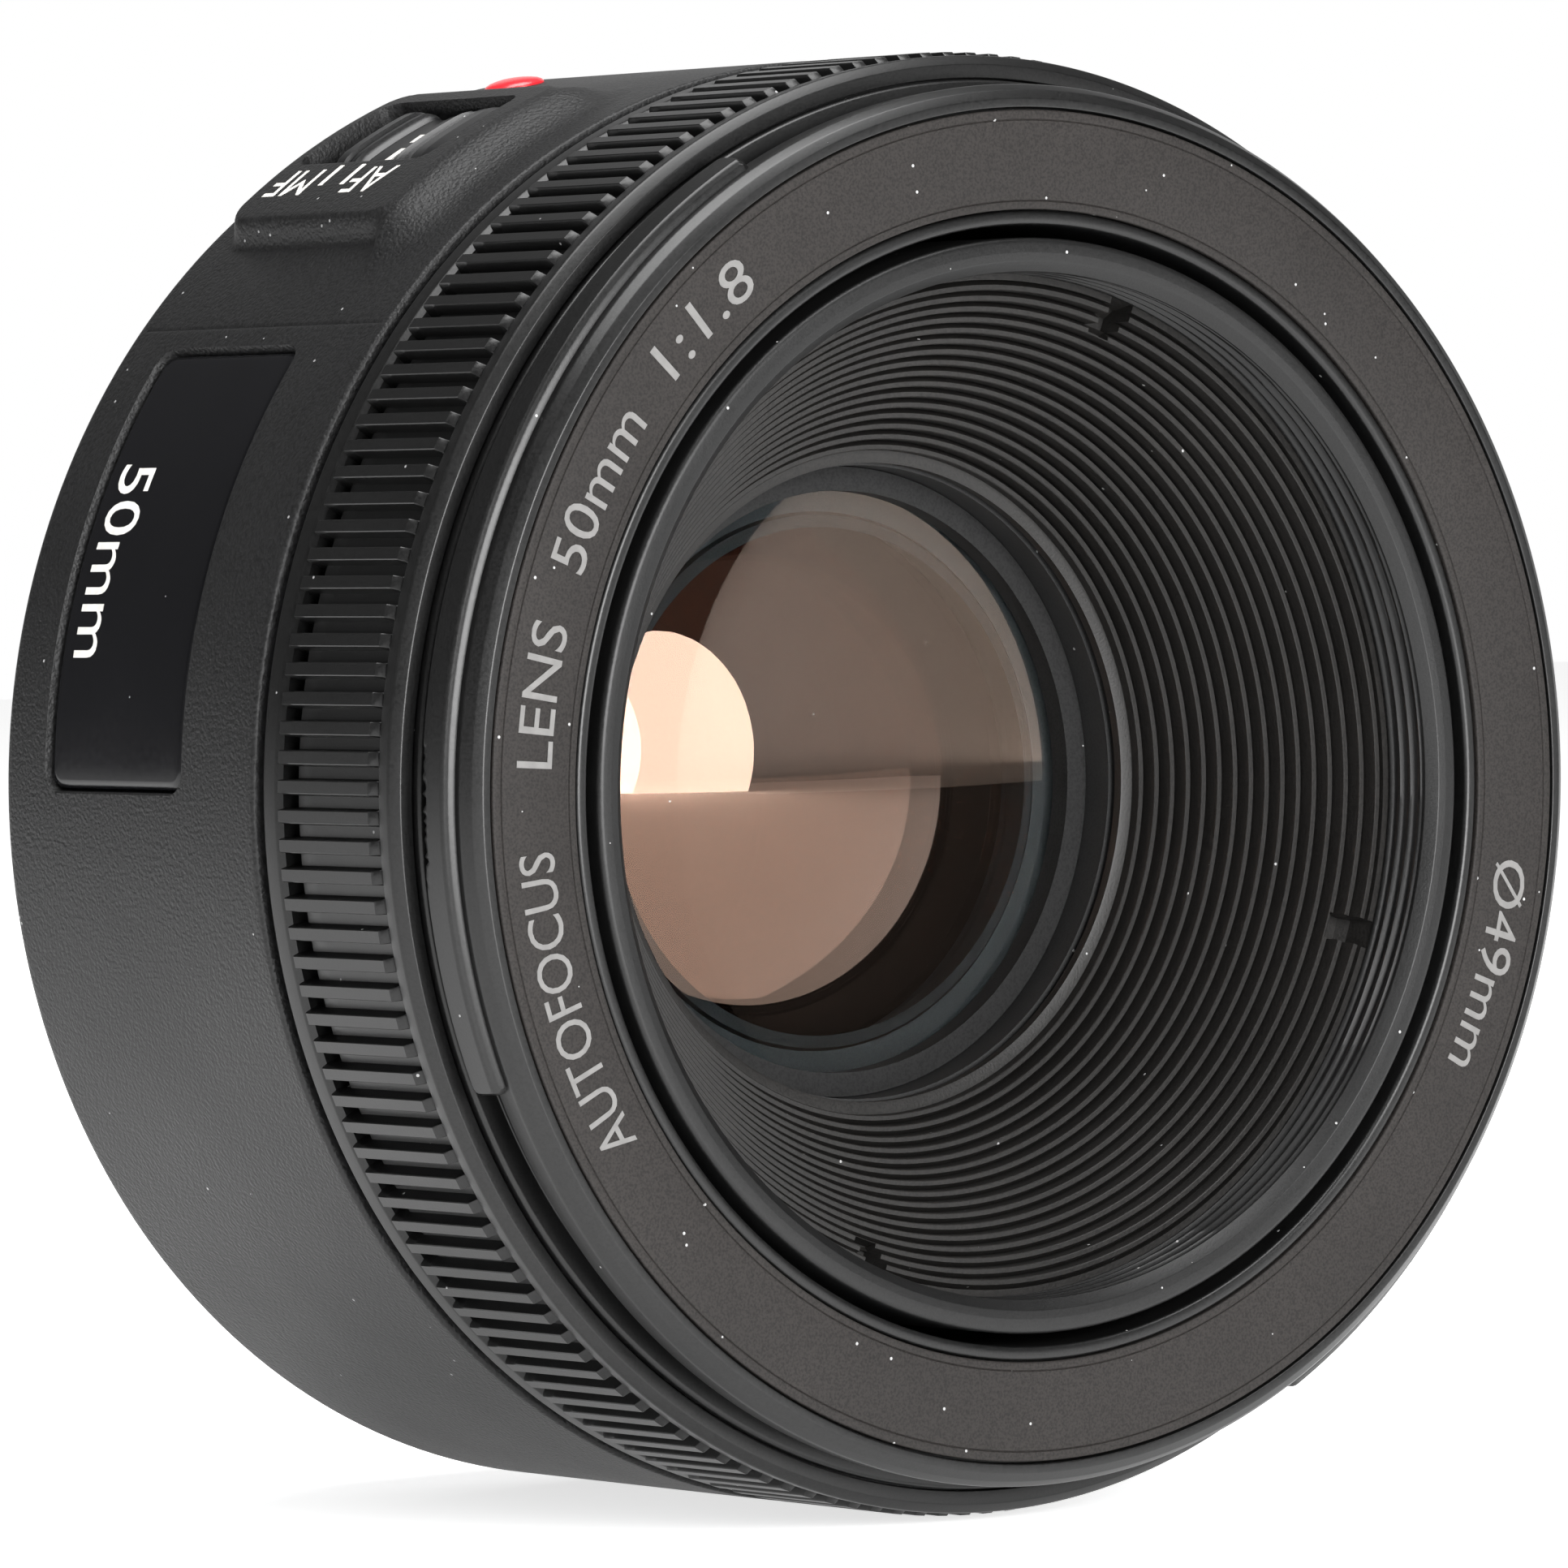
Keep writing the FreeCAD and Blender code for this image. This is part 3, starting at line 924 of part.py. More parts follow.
def make_aperture_unit():
    """Base with pivot holes, drive ring with slots and a toothed sector, cover, motor and pinion."""
    pivot, arm, play = size("blade_pivot"), size("blade_arm"), size("pin_play")
    angles = evenly(0, size("blade_count"))
    base_blank = new_body("aperture_base_blank")
    revolve(base_blank, [("iris_opening", "iris_back"), ("iris_radius", "iris_back"),
                         ("iris_radius", "iris_wall_front"), ("iris_wall", "iris_wall_front"),
                         ("iris_wall", "iris_base_front"), ("iris_opening", "iris_base_front")])
    holes = [rod(size("pivot_pin") + play, size("iris_back") - OVERCUT, size("iris_base_front") + OVERCUT,
                 polar(pivot, angle)) for angle in angles]
    machined("aperture_base", base_blank, Part.makeCompound(holes))

    ring_blank = new_body("aperture_drive_ring_blank")
    revolve(ring_blank, rectangle("iris_ring_inner", "iris_ring_outer", "iris_ring_back", "iris_ring_front"))
    half = size("drive_pin") + play
    below, above = size("iris_ring_back") - OVERCUT, size("iris_ring_front") + OVERCUT
    slots = []
    for angle in angles:
        slot = Part.makeBox(size("iris_slot_long"), 2 * half, above - below,
                            FreeCAD.Vector(pivot + arm - size("iris_slot_in"), -half, below))
        slot = slot.fuse(rod(half, below, above, FreeCAD.Vector(pivot + arm, 0, 0)))
        slot = slot.fuse(rod(half, below, above, FreeCAD.Vector(pivot + arm - size("iris_slot_in"), 0, 0)))
        slot.rotate(FreeCAD.Vector(), Z_AXIS, angle)
        slots.append(slot)
    motor_angle, sector = size("iris_motor_angle"), size("iris_sector")
    teeth = gear_void(int(size("iris_teeth")), size("iris_module"), below, above, motor_angle)
    teeth = teeth.common(wedge(10, 20, below, above, motor_angle - sector / 2, sector))
    machined("aperture_drive_ring", ring_blank, Part.makeCompound(slots + [teeth]))

    centre = polar(size("iris_module") * (size("iris_teeth") - size("iris_pinion_teeth")) / 2, motor_angle)
    cover = new_body("aperture_cover_blank")
    revolve(cover, rectangle("iris_cover_opening", "iris_radius", "iris_cover_back", "iris_cover_front"))
    machined("aperture_cover", cover, rod(size("iris_shaft_hole"), below, above + OVERCUT, centre))
    plain_piece("aperture_motor", rod(size("iris_motor_radius"), size("iris_motor_back"),
                                      size("iris_motor_front"), centre))
    pinion_teeth = int(size("iris_pinion_teeth"))
    pinion = gear(pinion_teeth, size("iris_module"), size("iris_ring_back"), size("iris_ring_front"),
                  motor_angle)
    pinion = pinion.fuse(rod(size("iris_shaft"), size("iris_ring_back"),
                              size("iris_motor_back") - size("shaft_end_play")))
    plain_piece("aperture_pinion", pinion, FORWARD.multiply(FreeCAD.Placement(centre, FreeCAD.Rotation())))


def make_all():
    """Build every piece in the order in which the lens goes together."""
    make_bayonet_mount()
    make_mount_screws()
    make_rear_baffle()
    make_contacts()
    make_rear_barrel()
    make_side_plate()
    make_index_dot()
    make_switch()
    make_focus_ring()
    make_encoder()
    make_front_barrel()
    make_name_ring()
    ring("focus_ring_washer", "washer_inner", "washer_outer", "washer_back", "washer_front")
    make_barrel_screws()
    make_guide_barrel()
    make_cam_ring()
    ring("cam_retaining_ring", "cam_bore", "retainer_radius", "retainer_back", "retainer_front")
    make_focus_drive()
    make_electronics()
    make_inner_barrel()
    make_baffle_cone()
    make_cells()
    for name, *_ in ELEMENTS:
        make_element(name)
    make_aperture_unit()
    make_blades()



def finished_pieces():
    """Top-level solids: everything that no later step has taken in."""
    for item in doc.Objects:
        solid = item.isDerivedFrom("Part::Feature") and not item.isDerivedFrom("PartDesign::Feature")
        taken_in = any(user.isDerivedFrom("Part::Boolean") for user in item.InList)
        if solid and not taken_in and not item.isDerivedFrom("Sketcher::SketchObject"):
            yield item


def export_pieces():
    """Check every object and write one STEP file for each piece."""
    doc.recompute()
    broken = [item.Name for item in doc.Objects if {"Invalid", "Error"} & set(item.State)]
    if broken:
        raise RuntimeError("failed objects: " + ", ".join(broken))
    os.makedirs("parts", exist_ok=True)
    for piece in finished_pieces():
        shape = piece.Shape
        if shape.isNull() or not shape.isValid() or not shape.Solids:
            raise RuntimeError(piece.Label + " has no valid solid")
        shape.exportStep("parts/" + piece.Label + ".step")
        print("%-24s %2d solids %9.1f mm3" % (piece.Label, len(shape.Solids), shape.Volume))


fill_sheet()
make_all()
export_pieces()
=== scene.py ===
"""Prime camera lens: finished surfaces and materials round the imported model.

Lengths in the classes are millimetres. A place on the lens is a radius from the optical axis, an
angle in degrees from +X towards +Z, and a station, the distance in front of the mount flange.
"""
import json
import logging
import math
from dataclasses import dataclass, field
from enum import Enum
from typing import Callable, Sequence, Union

import bmesh
import bpy
import numpy as np
from mathutils import Matrix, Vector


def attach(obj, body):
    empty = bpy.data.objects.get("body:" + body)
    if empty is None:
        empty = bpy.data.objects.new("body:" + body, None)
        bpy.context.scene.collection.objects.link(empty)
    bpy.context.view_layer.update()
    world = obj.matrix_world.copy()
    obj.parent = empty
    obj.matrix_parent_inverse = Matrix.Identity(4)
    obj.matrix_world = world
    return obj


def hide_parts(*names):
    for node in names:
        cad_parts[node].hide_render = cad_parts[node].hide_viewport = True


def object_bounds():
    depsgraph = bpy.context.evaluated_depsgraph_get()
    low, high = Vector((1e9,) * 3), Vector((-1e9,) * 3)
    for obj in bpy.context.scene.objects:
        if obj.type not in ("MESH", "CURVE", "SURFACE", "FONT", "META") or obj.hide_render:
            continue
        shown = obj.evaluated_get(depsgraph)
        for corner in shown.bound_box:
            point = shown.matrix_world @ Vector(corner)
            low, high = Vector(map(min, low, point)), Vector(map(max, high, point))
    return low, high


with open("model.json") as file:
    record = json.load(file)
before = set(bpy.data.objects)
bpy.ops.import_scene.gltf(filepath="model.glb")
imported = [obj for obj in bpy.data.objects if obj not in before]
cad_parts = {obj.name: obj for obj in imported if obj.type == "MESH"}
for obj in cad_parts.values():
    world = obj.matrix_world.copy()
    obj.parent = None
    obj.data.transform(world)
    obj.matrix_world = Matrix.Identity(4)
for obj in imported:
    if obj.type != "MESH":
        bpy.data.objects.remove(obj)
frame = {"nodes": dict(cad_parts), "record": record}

CAD_BOX = [list(corner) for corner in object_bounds()]
MM = 0.001
FULL_TURN = 360.0
WELD_REACH = 1e-7
THIN_EDGE = 1e-8
LOG = logging.getLogger("prime_lens")
Array = np.ndarray
Material = bpy.types.Material
Materials = dict[str, Material]
Place = tuple[float, float]
Triple = tuple[float, float, float]
Placing = Callable[[Array, Array, Array], Array]


# ---- surfaces ----

@dataclass
class Shell:
    """Points and faces of one closed surface, in millimetres."""

    points: Array
    faces: Array

    def outward(self) -> "Shell":
        """Turn the faces round if the volume they enclose, the sum of corner products, is negative."""
        a, b, c, d = (self.points[self.faces[:, k]] for k in range(4))
        volume = np.einsum("ij,ij->", a, np.cross(b, c)) + np.einsum("ij,ij->", a, np.cross(c, d))
        return self if volume > 0 else Shell(self.points, self.faces[:, ::-1])

    def mesh(self, name: str) -> bpy.types.Mesh:
        """Mesh of the shell, in metres."""
        made = bpy.data.meshes.new(name)
        made.from_pydata((self.points * MM).tolist(), [], self.faces.tolist())
        return made


def on_lens(radius: Array, angle: Array, station: Array) -> Array:
    """Points at radius, angle and station: (radius cos angle, -station, radius sin angle)."""
    radius, turn, station = np.broadcast_arrays(radius, np.radians(angle), station)
    return np.stack([radius * np.cos(turn), -station, radius * np.sin(turn)], axis=-1)


def woven(points: Array, closed_rows: bool = True, closed_columns: bool = True) -> Shell:
    """Surface over a grid of points: each face joins two neighbours on a row to the next row's two.

    Args:
        points: Array of rows, columns and coordinates.
        closed_rows: Join the last row to the first.
        closed_columns: Join the last column to the first.

    Returns:
        The shell, its faces pointing outwards.
    """
    index = np.arange(points.shape[0] * points.shape[1]).reshape(points.shape[:2])
    if closed_rows:
        index = np.vstack([index, index[:1]])
    if closed_columns:
        index = np.hstack([index, index[:, :1]])
    faces = np.stack([index[:-1, :-1], index[1:, :-1], index[1:, 1:], index[:-1, 1:]], axis=-1)
    return Shell(points.reshape(-1, 3), faces.reshape(-1, 4)).outward()


def softened(corners: Sequence[Place], rounding: float | Sequence[float],
             steps: int = 3) -> Array:
    """Closed outline with rounded corners: each corner becomes an arc that touches both its sides.

    Args:
        corners: Radius and station of each corner.
        rounding: Arc radius, one for all corners or one each; short sides cut it down.
        steps: Faces on each arc.

    Returns:
        Radius and station of the points of the outline.
    """
    corner = np.asarray(corners, float)
    before, after = np.roll(corner, 1, 0) - corner, np.roll(corner, -1, 0) - corner
    reach = np.minimum(np.linalg.norm(before, axis=1), np.linalg.norm(after, axis=1)) * 0.48
    before /= np.linalg.norm(before, axis=1)[:, None]
    after /= np.linalg.norm(after, axis=1)[:, None]
    half = np.arccos(np.clip((before * after).sum(1), -1, 1)) / 2
    tangent = np.minimum(np.broadcast_to(rounding, half.shape) / np.tan(half), reach)
    radius = tangent * np.tan(half)
    middle = before + after
    middle /= np.maximum(np.linalg.norm(middle, axis=1), 1e-9)[:, None]
    centre = corner + middle * (radius / np.sin(half))[:, None]
    first, last = corner + before * tangent[:, None] - centre, corner + after * tangent[:, None] - centre
    bend = np.maximum(math.pi - 2 * half, 1e-6)[:, None, None]
    part = np.linspace(0, 1, steps + 1)[None, :, None]
    arc = (np.sin((1 - part) * bend) * first[:, None] + np.sin(part * bend) * last[:, None]) / np.sin(bend)
    return (centre[:, None] + arc).reshape(-1, 2)


def spread(outline: Array, parts: int) -> Array:
    """Closed outline with its long sides cut into parts, so that it can follow a curved wall."""
    after = np.roll(outline, -1, 0)
    length = np.linalg.norm(after - outline, axis=1)
    count = np.where(length > length.mean(), parts, 1)
    which = np.repeat(np.arange(len(outline)), count)
    share = np.concatenate([np.arange(number) / number for number in count])[:, None]
    return outline[which] + (after - outline)[which] * share


def graded(start: float, stop: float, coarse: float, *fine: Triple) -> Array:
    """Samples from start to stop, a coarse step apart, and a fine step apart within reach of an edge.

    Args:
        start: First sample.
        stop: Last sample.
        coarse: Step away from the edges.
        fine: An edge, its reach and its step, any number of times.
    """
    stretches = [np.linspace(start, stop, max(2, round((stop - start) / coarse) + 1))]
    for edge, reach, step in fine:
        near = np.arange(math.ceil((edge - reach) / step), (edge + reach) / step) * step
        stretches.append(near[(near > start) & (near < stop)])
    samples = np.unique(np.round(np.concatenate(stretches), 4))
    return samples[np.concatenate([[True], np.diff(samples) > 0.004])]


def smooth(distance: Array, start: float, stop: float) -> Array:
    """Smooth step: 1 up to start, 0 from stop on, and 1 - 3t^2 + 2t^3 between them."""
    part = np.clip((distance - start) / (stop - start), 0, 1)
    return 1 - part * part * (3 - 2 * part)


@dataclass(frozen=True)
class Panel:
    """Rectangle with rounded corners, laid on the barrel."""

    angle: float
    station: float
    half_angle: float
    half_length: float
    corner: float
    radius: float = 34.6

    def distance(self, angle: Array, station: Array) -> Array:
        """Distance outside the outline, negative inside: that to the core rectangle less the corner."""
        across = np.radians(np.abs((angle - self.angle + 180) % FULL_TURN - 180)) * self.radius
        across = across - (math.radians(self.half_angle) * self.radius - self.corner)
        along = np.abs(station - self.station) - (self.half_length - self.corner)
        outside = np.hypot(np.maximum(across, 0), np.maximum(along, 0))
        return outside + np.minimum(np.maximum(across, along), 0) - self.corner

    def edges(self, reach: float, step: float) -> tuple[list[tuple], list[tuple]]:
        """Places along the angle and the station that need fine samples, with reach and step in mm."""
        turn = math.degrees(1 / self.radius)
        angles = [(self.angle + side * self.half_angle, reach * turn, step * turn) for side in (-1, 1)]
        return angles, [(self.station + side * self.half_length, reach, step) for side in (-1, 1)]


def turned(turn: Array, wall: Array, station: Array, rest: Array) -> Shell:
    """Closed outline carried round the axis, with a wall whose radius changes with the angle.

    Args:
        turn: Angles round the axis.
        wall: Radius of the wall, with a row for each station and a column for each angle.
        station: Stations of the wall.
        rest: Radius and station of the other points of the outline.

    Returns:
        The shell.
    """
    radius = np.vstack([wall, np.repeat(rest[:, :1], len(turn), axis=1)])
    return woven(on_lens(radius, turn[None], np.concatenate([station, rest[:, 1]])[:, None]))


def add_object(name: str, data: bpy.types.ID) -> bpy.types.Object:
    """Put a mesh, text, light or camera into the scene."""
    made = bpy.data.objects.new(name, data)
    bpy.context.scene.collection.objects.link(made)
    return made


def make_piece(name: str, mesh: bpy.types.Mesh, material: Material, body: str,
               stands_for: Sequence[str] = (), crease: float = 32.0) -> None:
    """Weld a mesh, smooth it, dress it, and tie it to a body and a material slot.

    Args:
        name: Name of the piece.
        mesh: Mesh at its place, in metres.
        material: Finish of the whole piece.
        body: Body that it moves with.
        stands_for: Model nodes that it is shown in place of.
        crease: Edges that bend by more than this many degrees stay sharp.
    """
    weld = bmesh.new()
    weld.from_mesh(mesh)
    bmesh.ops.remove_doubles(weld, verts=weld.verts, dist=WELD_REACH)
    bmesh.ops.dissolve_degenerate(weld, edges=weld.edges, dist=THIN_EDGE)
    weld.to_mesh(mesh)
    weld.free()
    mesh.shade_smooth()
    mesh.set_sharp_from_angle(angle=math.radians(crease))
    mesh.materials.append(material)
    piece = add_object(name, mesh)
    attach(piece, body)
    if stands_for:
        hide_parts(*stands_for)
    LOG.info("%s: %d faces on %s", name, len(mesh.polygons), body)


@dataclass
class Assembly:
    """Sub-assembly whose pieces move with one body."""

    materials: Materials
    body: str = "lens_body"

    def cover(self, name: str, shell: Shell, slot: str, node: str, crease: float = 32.0) -> None:
        """Make a piece in the finish of its slot, shown in place of one model node."""
        make_piece(name, shell.mesh(name), self.materials[slot], self.body, [node], crease)


# ---- shader maths ----

Number = Union["Value", float]


class Value:
    """Output of a shader node. Python's operators on it add Math nodes."""

    def __init__(self, graph: "Graph", socket: bpy.types.NodeSocket) -> None:
        """Keep the graph that holds the socket."""
        self.graph, self.socket = graph, socket

    def maths(self, operation: str, first: Number, second: Number = 0.0) -> "Value":
        """Math node on two values."""
        return self.graph.node("ShaderNodeMath", {"operation": operation}, {0: first, 1: second})

    def __add__(self, other: Number) -> "Value":
        """Sum."""
        return self.maths("ADD", self, other)

    def __sub__(self, other: Number) -> "Value":
        """Difference."""
        return self.maths("SUBTRACT", self, other)

    def __rsub__(self, other: Number) -> "Value":
        """Difference from a number."""
        return self.maths("SUBTRACT", other, self)

    def __mul__(self, other: Number) -> "Value":
        """Product."""
        return self.maths("MULTIPLY", self, other)

    def __lt__(self, other: Number) -> "Value":
        """1 where it is less, and 0 elsewhere."""
        return self.maths("LESS_THAN", self, other)

    def __gt__(self, other: Number) -> "Value":
        """1 where it is greater, and 0 elsewhere."""
        return self.maths("GREATER_THAN", self, other)

    __radd__ = __add__
    __rmul__ = __mul__

    def root(self) -> "Value":
        """Square root."""
        return self.maths("SQRT", self)

    def between(self, low: float, high: float) -> "Value":
        """0 at low and 1 at high, held beyond them."""
        return self.graph.node("ShaderNodeMapRange", {"clamp": True}, {0: self, 1: low, 2: high})


class Graph:
    """Node tree of a new material that ends in one principled shader."""

    def __init__(self, name: str) -> None:
        """Make the material with only its output and its shader."""
        self.material = bpy.data.materials.new(name)
        self.material.use_nodes = True
        self.tree = self.material.node_tree
        self.tree.nodes.clear()
        output = self.tree.nodes.new("ShaderNodeOutputMaterial")
        self.shader = self.tree.nodes.new("ShaderNodeBsdfPrincipled")
        self.tree.links.new(self.shader.outputs[0], output.inputs[0])
        self.place = self.node("ShaderNodeTexCoord", output=3)

    def fill(self, inputs: bpy.types.bpy_prop_collection, values: dict) -> None:
        """Link or set each socket."""
        for key, value in values.items():
            if isinstance(value, Value):
                self.tree.links.new(value.socket, inputs[key])
            else:
                inputs[key].default_value = value

    def node(self, kind: str, settings: dict | None = None, values: dict | None = None,
             output: int = 0) -> Value:
        """Add a node: its settings first, then the values or links of its sockets."""
        made = self.tree.nodes.new(kind)
        for key, value in (settings or {}).items():
            setattr(made, key, value)
        self.fill(made.inputs, values or {})
        return Value(self, made.outputs[output])

    def set(self, **values: Value | float | tuple) -> None:
        """Set the shader's sockets, whose names have spaces where the keywords have underscores."""
        self.fill(self.shader.inputs, {key.replace("_", " "): value for key, value in values.items()})

    def noise(self, size: float, detail: float = 2.0, where: Value | None = None) -> Value:
        """Noise whose lumps are about size millimetres."""
        return self.node("ShaderNodeTexNoise", {}, {"Vector": where or self.place, "Scale": 1 / (size * MM),
                                                    "Detail": detail})

    def blend(self, factor: Number, first: Value | tuple, second: Value | tuple) -> Value:
        """Colour between two colours."""
        return self.node("ShaderNodeMix", {"data_type": "RGBA"}, {0: factor, 6: first, 7: second}, output=2)

    def axis_distance(self) -> Value:
        """Distance from the optical axis in metres: the root of x squared plus z squared."""
        split = self.node("ShaderNodeSeparateXYZ", {}, {0: self.place})
        made = split.socket.node
        across, up = Value(self, made.outputs[0]), Value(self, made.outputs[2])
        return (across * across + up * up).root()

    def bump(self, height: Value, depth: float) -> None:
        """Relief of the surface, depth millimetres for a height of 1."""
        self.set(Normal=self.node("ShaderNodeBump", {}, {"Height": height, "Distance": depth * MM,
                                                         "Strength": 1.0}))

    def specks(self, spacing: float, size: float, share: float) -> Value:
        """1 on scattered dots: inside a small part of a cell, and only in some cells."""
        cell = self.node("ShaderNodeTexVoronoi", {}, {"Vector": self.place, "Scale": 1 / (spacing * MM)})
        pick = Value(self, self.node("ShaderNodeSeparateColor", {}, {
            0: Value(self, cell.socket.node.outputs[1])}).socket)
        return (cell < size / spacing) * (pick > 1 - share)


def dark(value: float) -> Triple:
    """Neutral colour of a finish."""
    return (value, value, value)


def grey(value: float) -> tuple[float, ...]:
    """Neutral colour of a socket."""
    return (value, value, value, 1.0)


def tone(colour: Triple, factor: float) -> tuple[float, ...]:
    """Colour with its brightness changed."""
    return (*(min(1.0, part * factor) for part in colour), 1.0)


# ---- finishes ----

CLOUD_SIZE = 9.0
STAIN_SIZE = 4.0
FINE_GRAIN = 0.2
# Painted shade: the grain's pits are darkened by this factor.
PAINTED_PIT_SHADE = 0.45
DUST_SPACING = 1.0
DUST_SIZE = 0.075
DUST_SHADE = 0.32
SMEAR_SIZE = 3.5
SMEAR_ROUGHNESS = 0.006


@dataclass(frozen=True)
class Moulded:
    """Moulded plastic: cloudy tone, a grain with painted shade in its pits where it is fine, and specks of
    dust.
    """

    name: str
    colour: Triple
    roughness: float = 0.5
    grain: float = 0.11
    relief: float = 0.006
    dust: float = 0.12
    gloss: float = 0.4
    coat: float = 0.0

    def material(self) -> Material:
        """Make the material."""
        graph = Graph(self.name)
        cloud, grain = graph.noise(CLOUD_SIZE, 3.0), graph.noise(self.grain, 1.0)
        base = graph.blend(cloud.between(0.3, 0.7), tone(self.colour, 0.88), tone(self.colour, 1.12))
        if self.grain < FINE_GRAIN:
            # Painted shade: the colour is darkened where the grain is low, in the pits of its bump.
            shaded_pits = graph.node("ShaderNodeMix", {"data_type": "RGBA", "blend_type": "MULTIPLY"},
                                {0: 1.0, 6: base, 7: grey(PAINTED_PIT_SHADE)}, output=2)
            base = graph.blend(grain.between(0.3, 0.6), shaded_pits, base)
        if self.dust:
            base = graph.blend(graph.specks(DUST_SPACING, DUST_SIZE, self.dust), base, grey(DUST_SHADE))
        graph.set(Base_Color=base, Roughness=(cloud - 0.5) * 0.12 + (grain - 0.5) * 0.1 + self.roughness,
                  Specular_IOR_Level=self.gloss, Coat_Weight=self.coat, Coat_Roughness=0.12)
        graph.bump(grain, self.relief)
        return graph.material


class Working(Enum):
    """How a metal piece was worked."""

    TURNED = "turned"
    ROLLED = "rolled"


@dataclass(frozen=True)
class Metal:
    """Bare or plated metal: lines from the tool or the rolling, and faint stains."""

    name: str
    colour: Triple
    roughness: float = 0.3
    working: Working = Working.ROLLED
    line: float = 0.06
    relief: float = 0.002

    def material(self) -> Material:
        """Make the material."""
        graph = Graph(self.name)
        stain = graph.noise(STAIN_SIZE, 4.0)
        if self.working is Working.TURNED:
            where = graph.node("ShaderNodeCombineXYZ", {}, {0: graph.axis_distance()})
            lines = graph.noise(self.line, 2.0, where)
        else:
            where = graph.node("ShaderNodeVectorMath", {"operation": "MULTIPLY"},
                               {0: graph.place, 1: (1.0, 0.05, 1.0)})
            lines = graph.noise(self.line * 2, 2.0, where)
        base = graph.blend(stain, tone(self.colour, 0.86), tone(self.colour, 1.08))
        graph.set(Base_Color=base, Metallic=1.0,
                  Roughness=(stain - 0.5) * 0.12 + (lines - 0.5) * 0.15 + self.roughness)
        graph.bump(lines, self.relief)
        return graph.material


@dataclass(frozen=True)
class Glass:
    """Coated glass: tinted body and reflection, faint smears and specks."""

    name: str
    tint: Triple
    body: Triple = (1.0, 1.0, 1.0)
    mirror: float = 0.0
    index: float = 1.6

    def material(self) -> Material:
        """Make the material."""
        graph = Graph(self.name)
        smear = graph.noise(SMEAR_SIZE, 3.0)
        wiped = graph.specks(2.2, 0.05, 0.35)
        graph.set(Base_Color=graph.blend(wiped, (*self.body, 1.0), grey(0.8)), Metallic=self.mirror,
                  Roughness=smear.between(0.45, 0.75) * SMEAR_ROUGHNESS + wiped * 0.3, IOR=self.index,
                  Transmission_Weight=1.0, Specular_Tint=(*self.tint, 1.0))
        return graph.material


@dataclass(frozen=True)
class Paint:
    """Printed or filled marking: slightly uneven, with worn spots."""

    name: str
    colour: Triple
    roughness: float = 0.55

    def material(self) -> Material:
        """Make the material."""
        graph = Graph(self.name)
        wear = graph.noise(0.5, 3.0)
        graph.set(Base_Color=graph.blend(wear.between(0.35, 0.75), tone(self.colour, 1.0),
                                         tone(self.colour, 0.82)), Roughness=self.roughness)
        graph.bump(graph.noise(0.15), 0.003)
        return graph.material


FINISHES = (
    Metal("mount_metal", (0.44, 0.44, 0.45), 0.26, Working.TURNED, 0.09, 0.003),
    Metal("screw_steel", (0.4, 0.4, 0.42), 0.32),
    Moulded("inner_black", dark(0.012), 0.7, dust=0.05, gloss=0.2),
    Metal("contact_gold", (0.83, 0.58, 0.22), 0.2),
    Moulded("barrel_plastic", (0.0105, 0.0105, 0.0108), 0.5, 0.19, 0.05, 0.12, 0.3),
    Moulded("gloss_plate", (0.0035, 0.0035, 0.0045), 0.2, 0.35, 0.001, 0.03, 0.34),
    Moulded("index_red", (0.72, 0.02, 0.03), 0.25, 0.3, 0.001, 0.0, 0.5),
    Moulded("switch_plastic", (0.01, 0.01, 0.0105), 0.36, 0.12, 0.003, 0.05, 0.4),
    Metal("spring_steel", (0.55, 0.55, 0.56), 0.3),
    Moulded("ring_plastic", dark(0.006), 0.36, 0.14, 0.003, 0.12, 0.36),
    Moulded("gear_plastic", (0.72, 0.7, 0.62), 0.42, dust=0.0),
    Moulded("front_plastic", dark(0.006), 0.34, 0.14, 0.003, 0.12, 0.38),
    Moulded("name_ring_plastic", (0.019, 0.0168, 0.0156), 0.6, 0.12, 0.006, 0.4, 0.2),
    Moulded("inner_plastic", dark(0.016), 0.6),
    Moulded("cam_plastic", dark(0.055), 0.55),
    Metal("pinion_brass", (0.72, 0.5, 0.2), 0.25),
    Metal("bracket_steel", (0.52, 0.52, 0.53), 0.34),
    Metal("motor_steel", (0.58, 0.58, 0.59), 0.24),
    Moulded("board_green", (0.008, 0.085, 0.03), 0.28, dust=0.0, coat=0.4),
    Moulded("chip_black", (0.014, 0.014, 0.015), 0.5, dust=0.0),
    Moulded("flex_amber", (0.42, 0.17, 0.03), 0.22, dust=0.0, coat=0.5),
    Moulded("inner_barrel_plastic", dark(0.006), 0.42, dust=0.14, gloss=0.34),
    Moulded("cone_black", (0.0115, 0.0106, 0.0098), 0.5, 0.12, 0.012, 0.10, 0.34),
    Glass("coated_glass", (0.85, 0.57, 0.43), (0.93, 0.98, 0.99), 0.0, 1.7),
    Moulded("blade_steel", (0.02, 0.02, 0.021), 0.4, 0.3, 0.001, 0.0),
    Glass("amber_glass", (1.0, 0.6, 0.42), (0.17, 0.07, 0.045), 0.34, 1.45),
    Glass("rose_glass", (1.0, 0.6, 0.56), (0.42, 0.17, 0.15), 0.25, 1.5),
    Glass("rear_glass", (0.6, 1.0, 0.75), (0.55, 0.66, 0.6), 0.15, 1.6),
    Paint("white_paint", (0.8, 0.78, 0.74)),
    Paint("grey_paint", (0.145, 0.142, 0.138)),
)


def make_finishes() -> Materials:
    """Material of every finish, by name."""
    return {finish.name: finish.material() for finish in FINISHES}


# ---- lettering ----

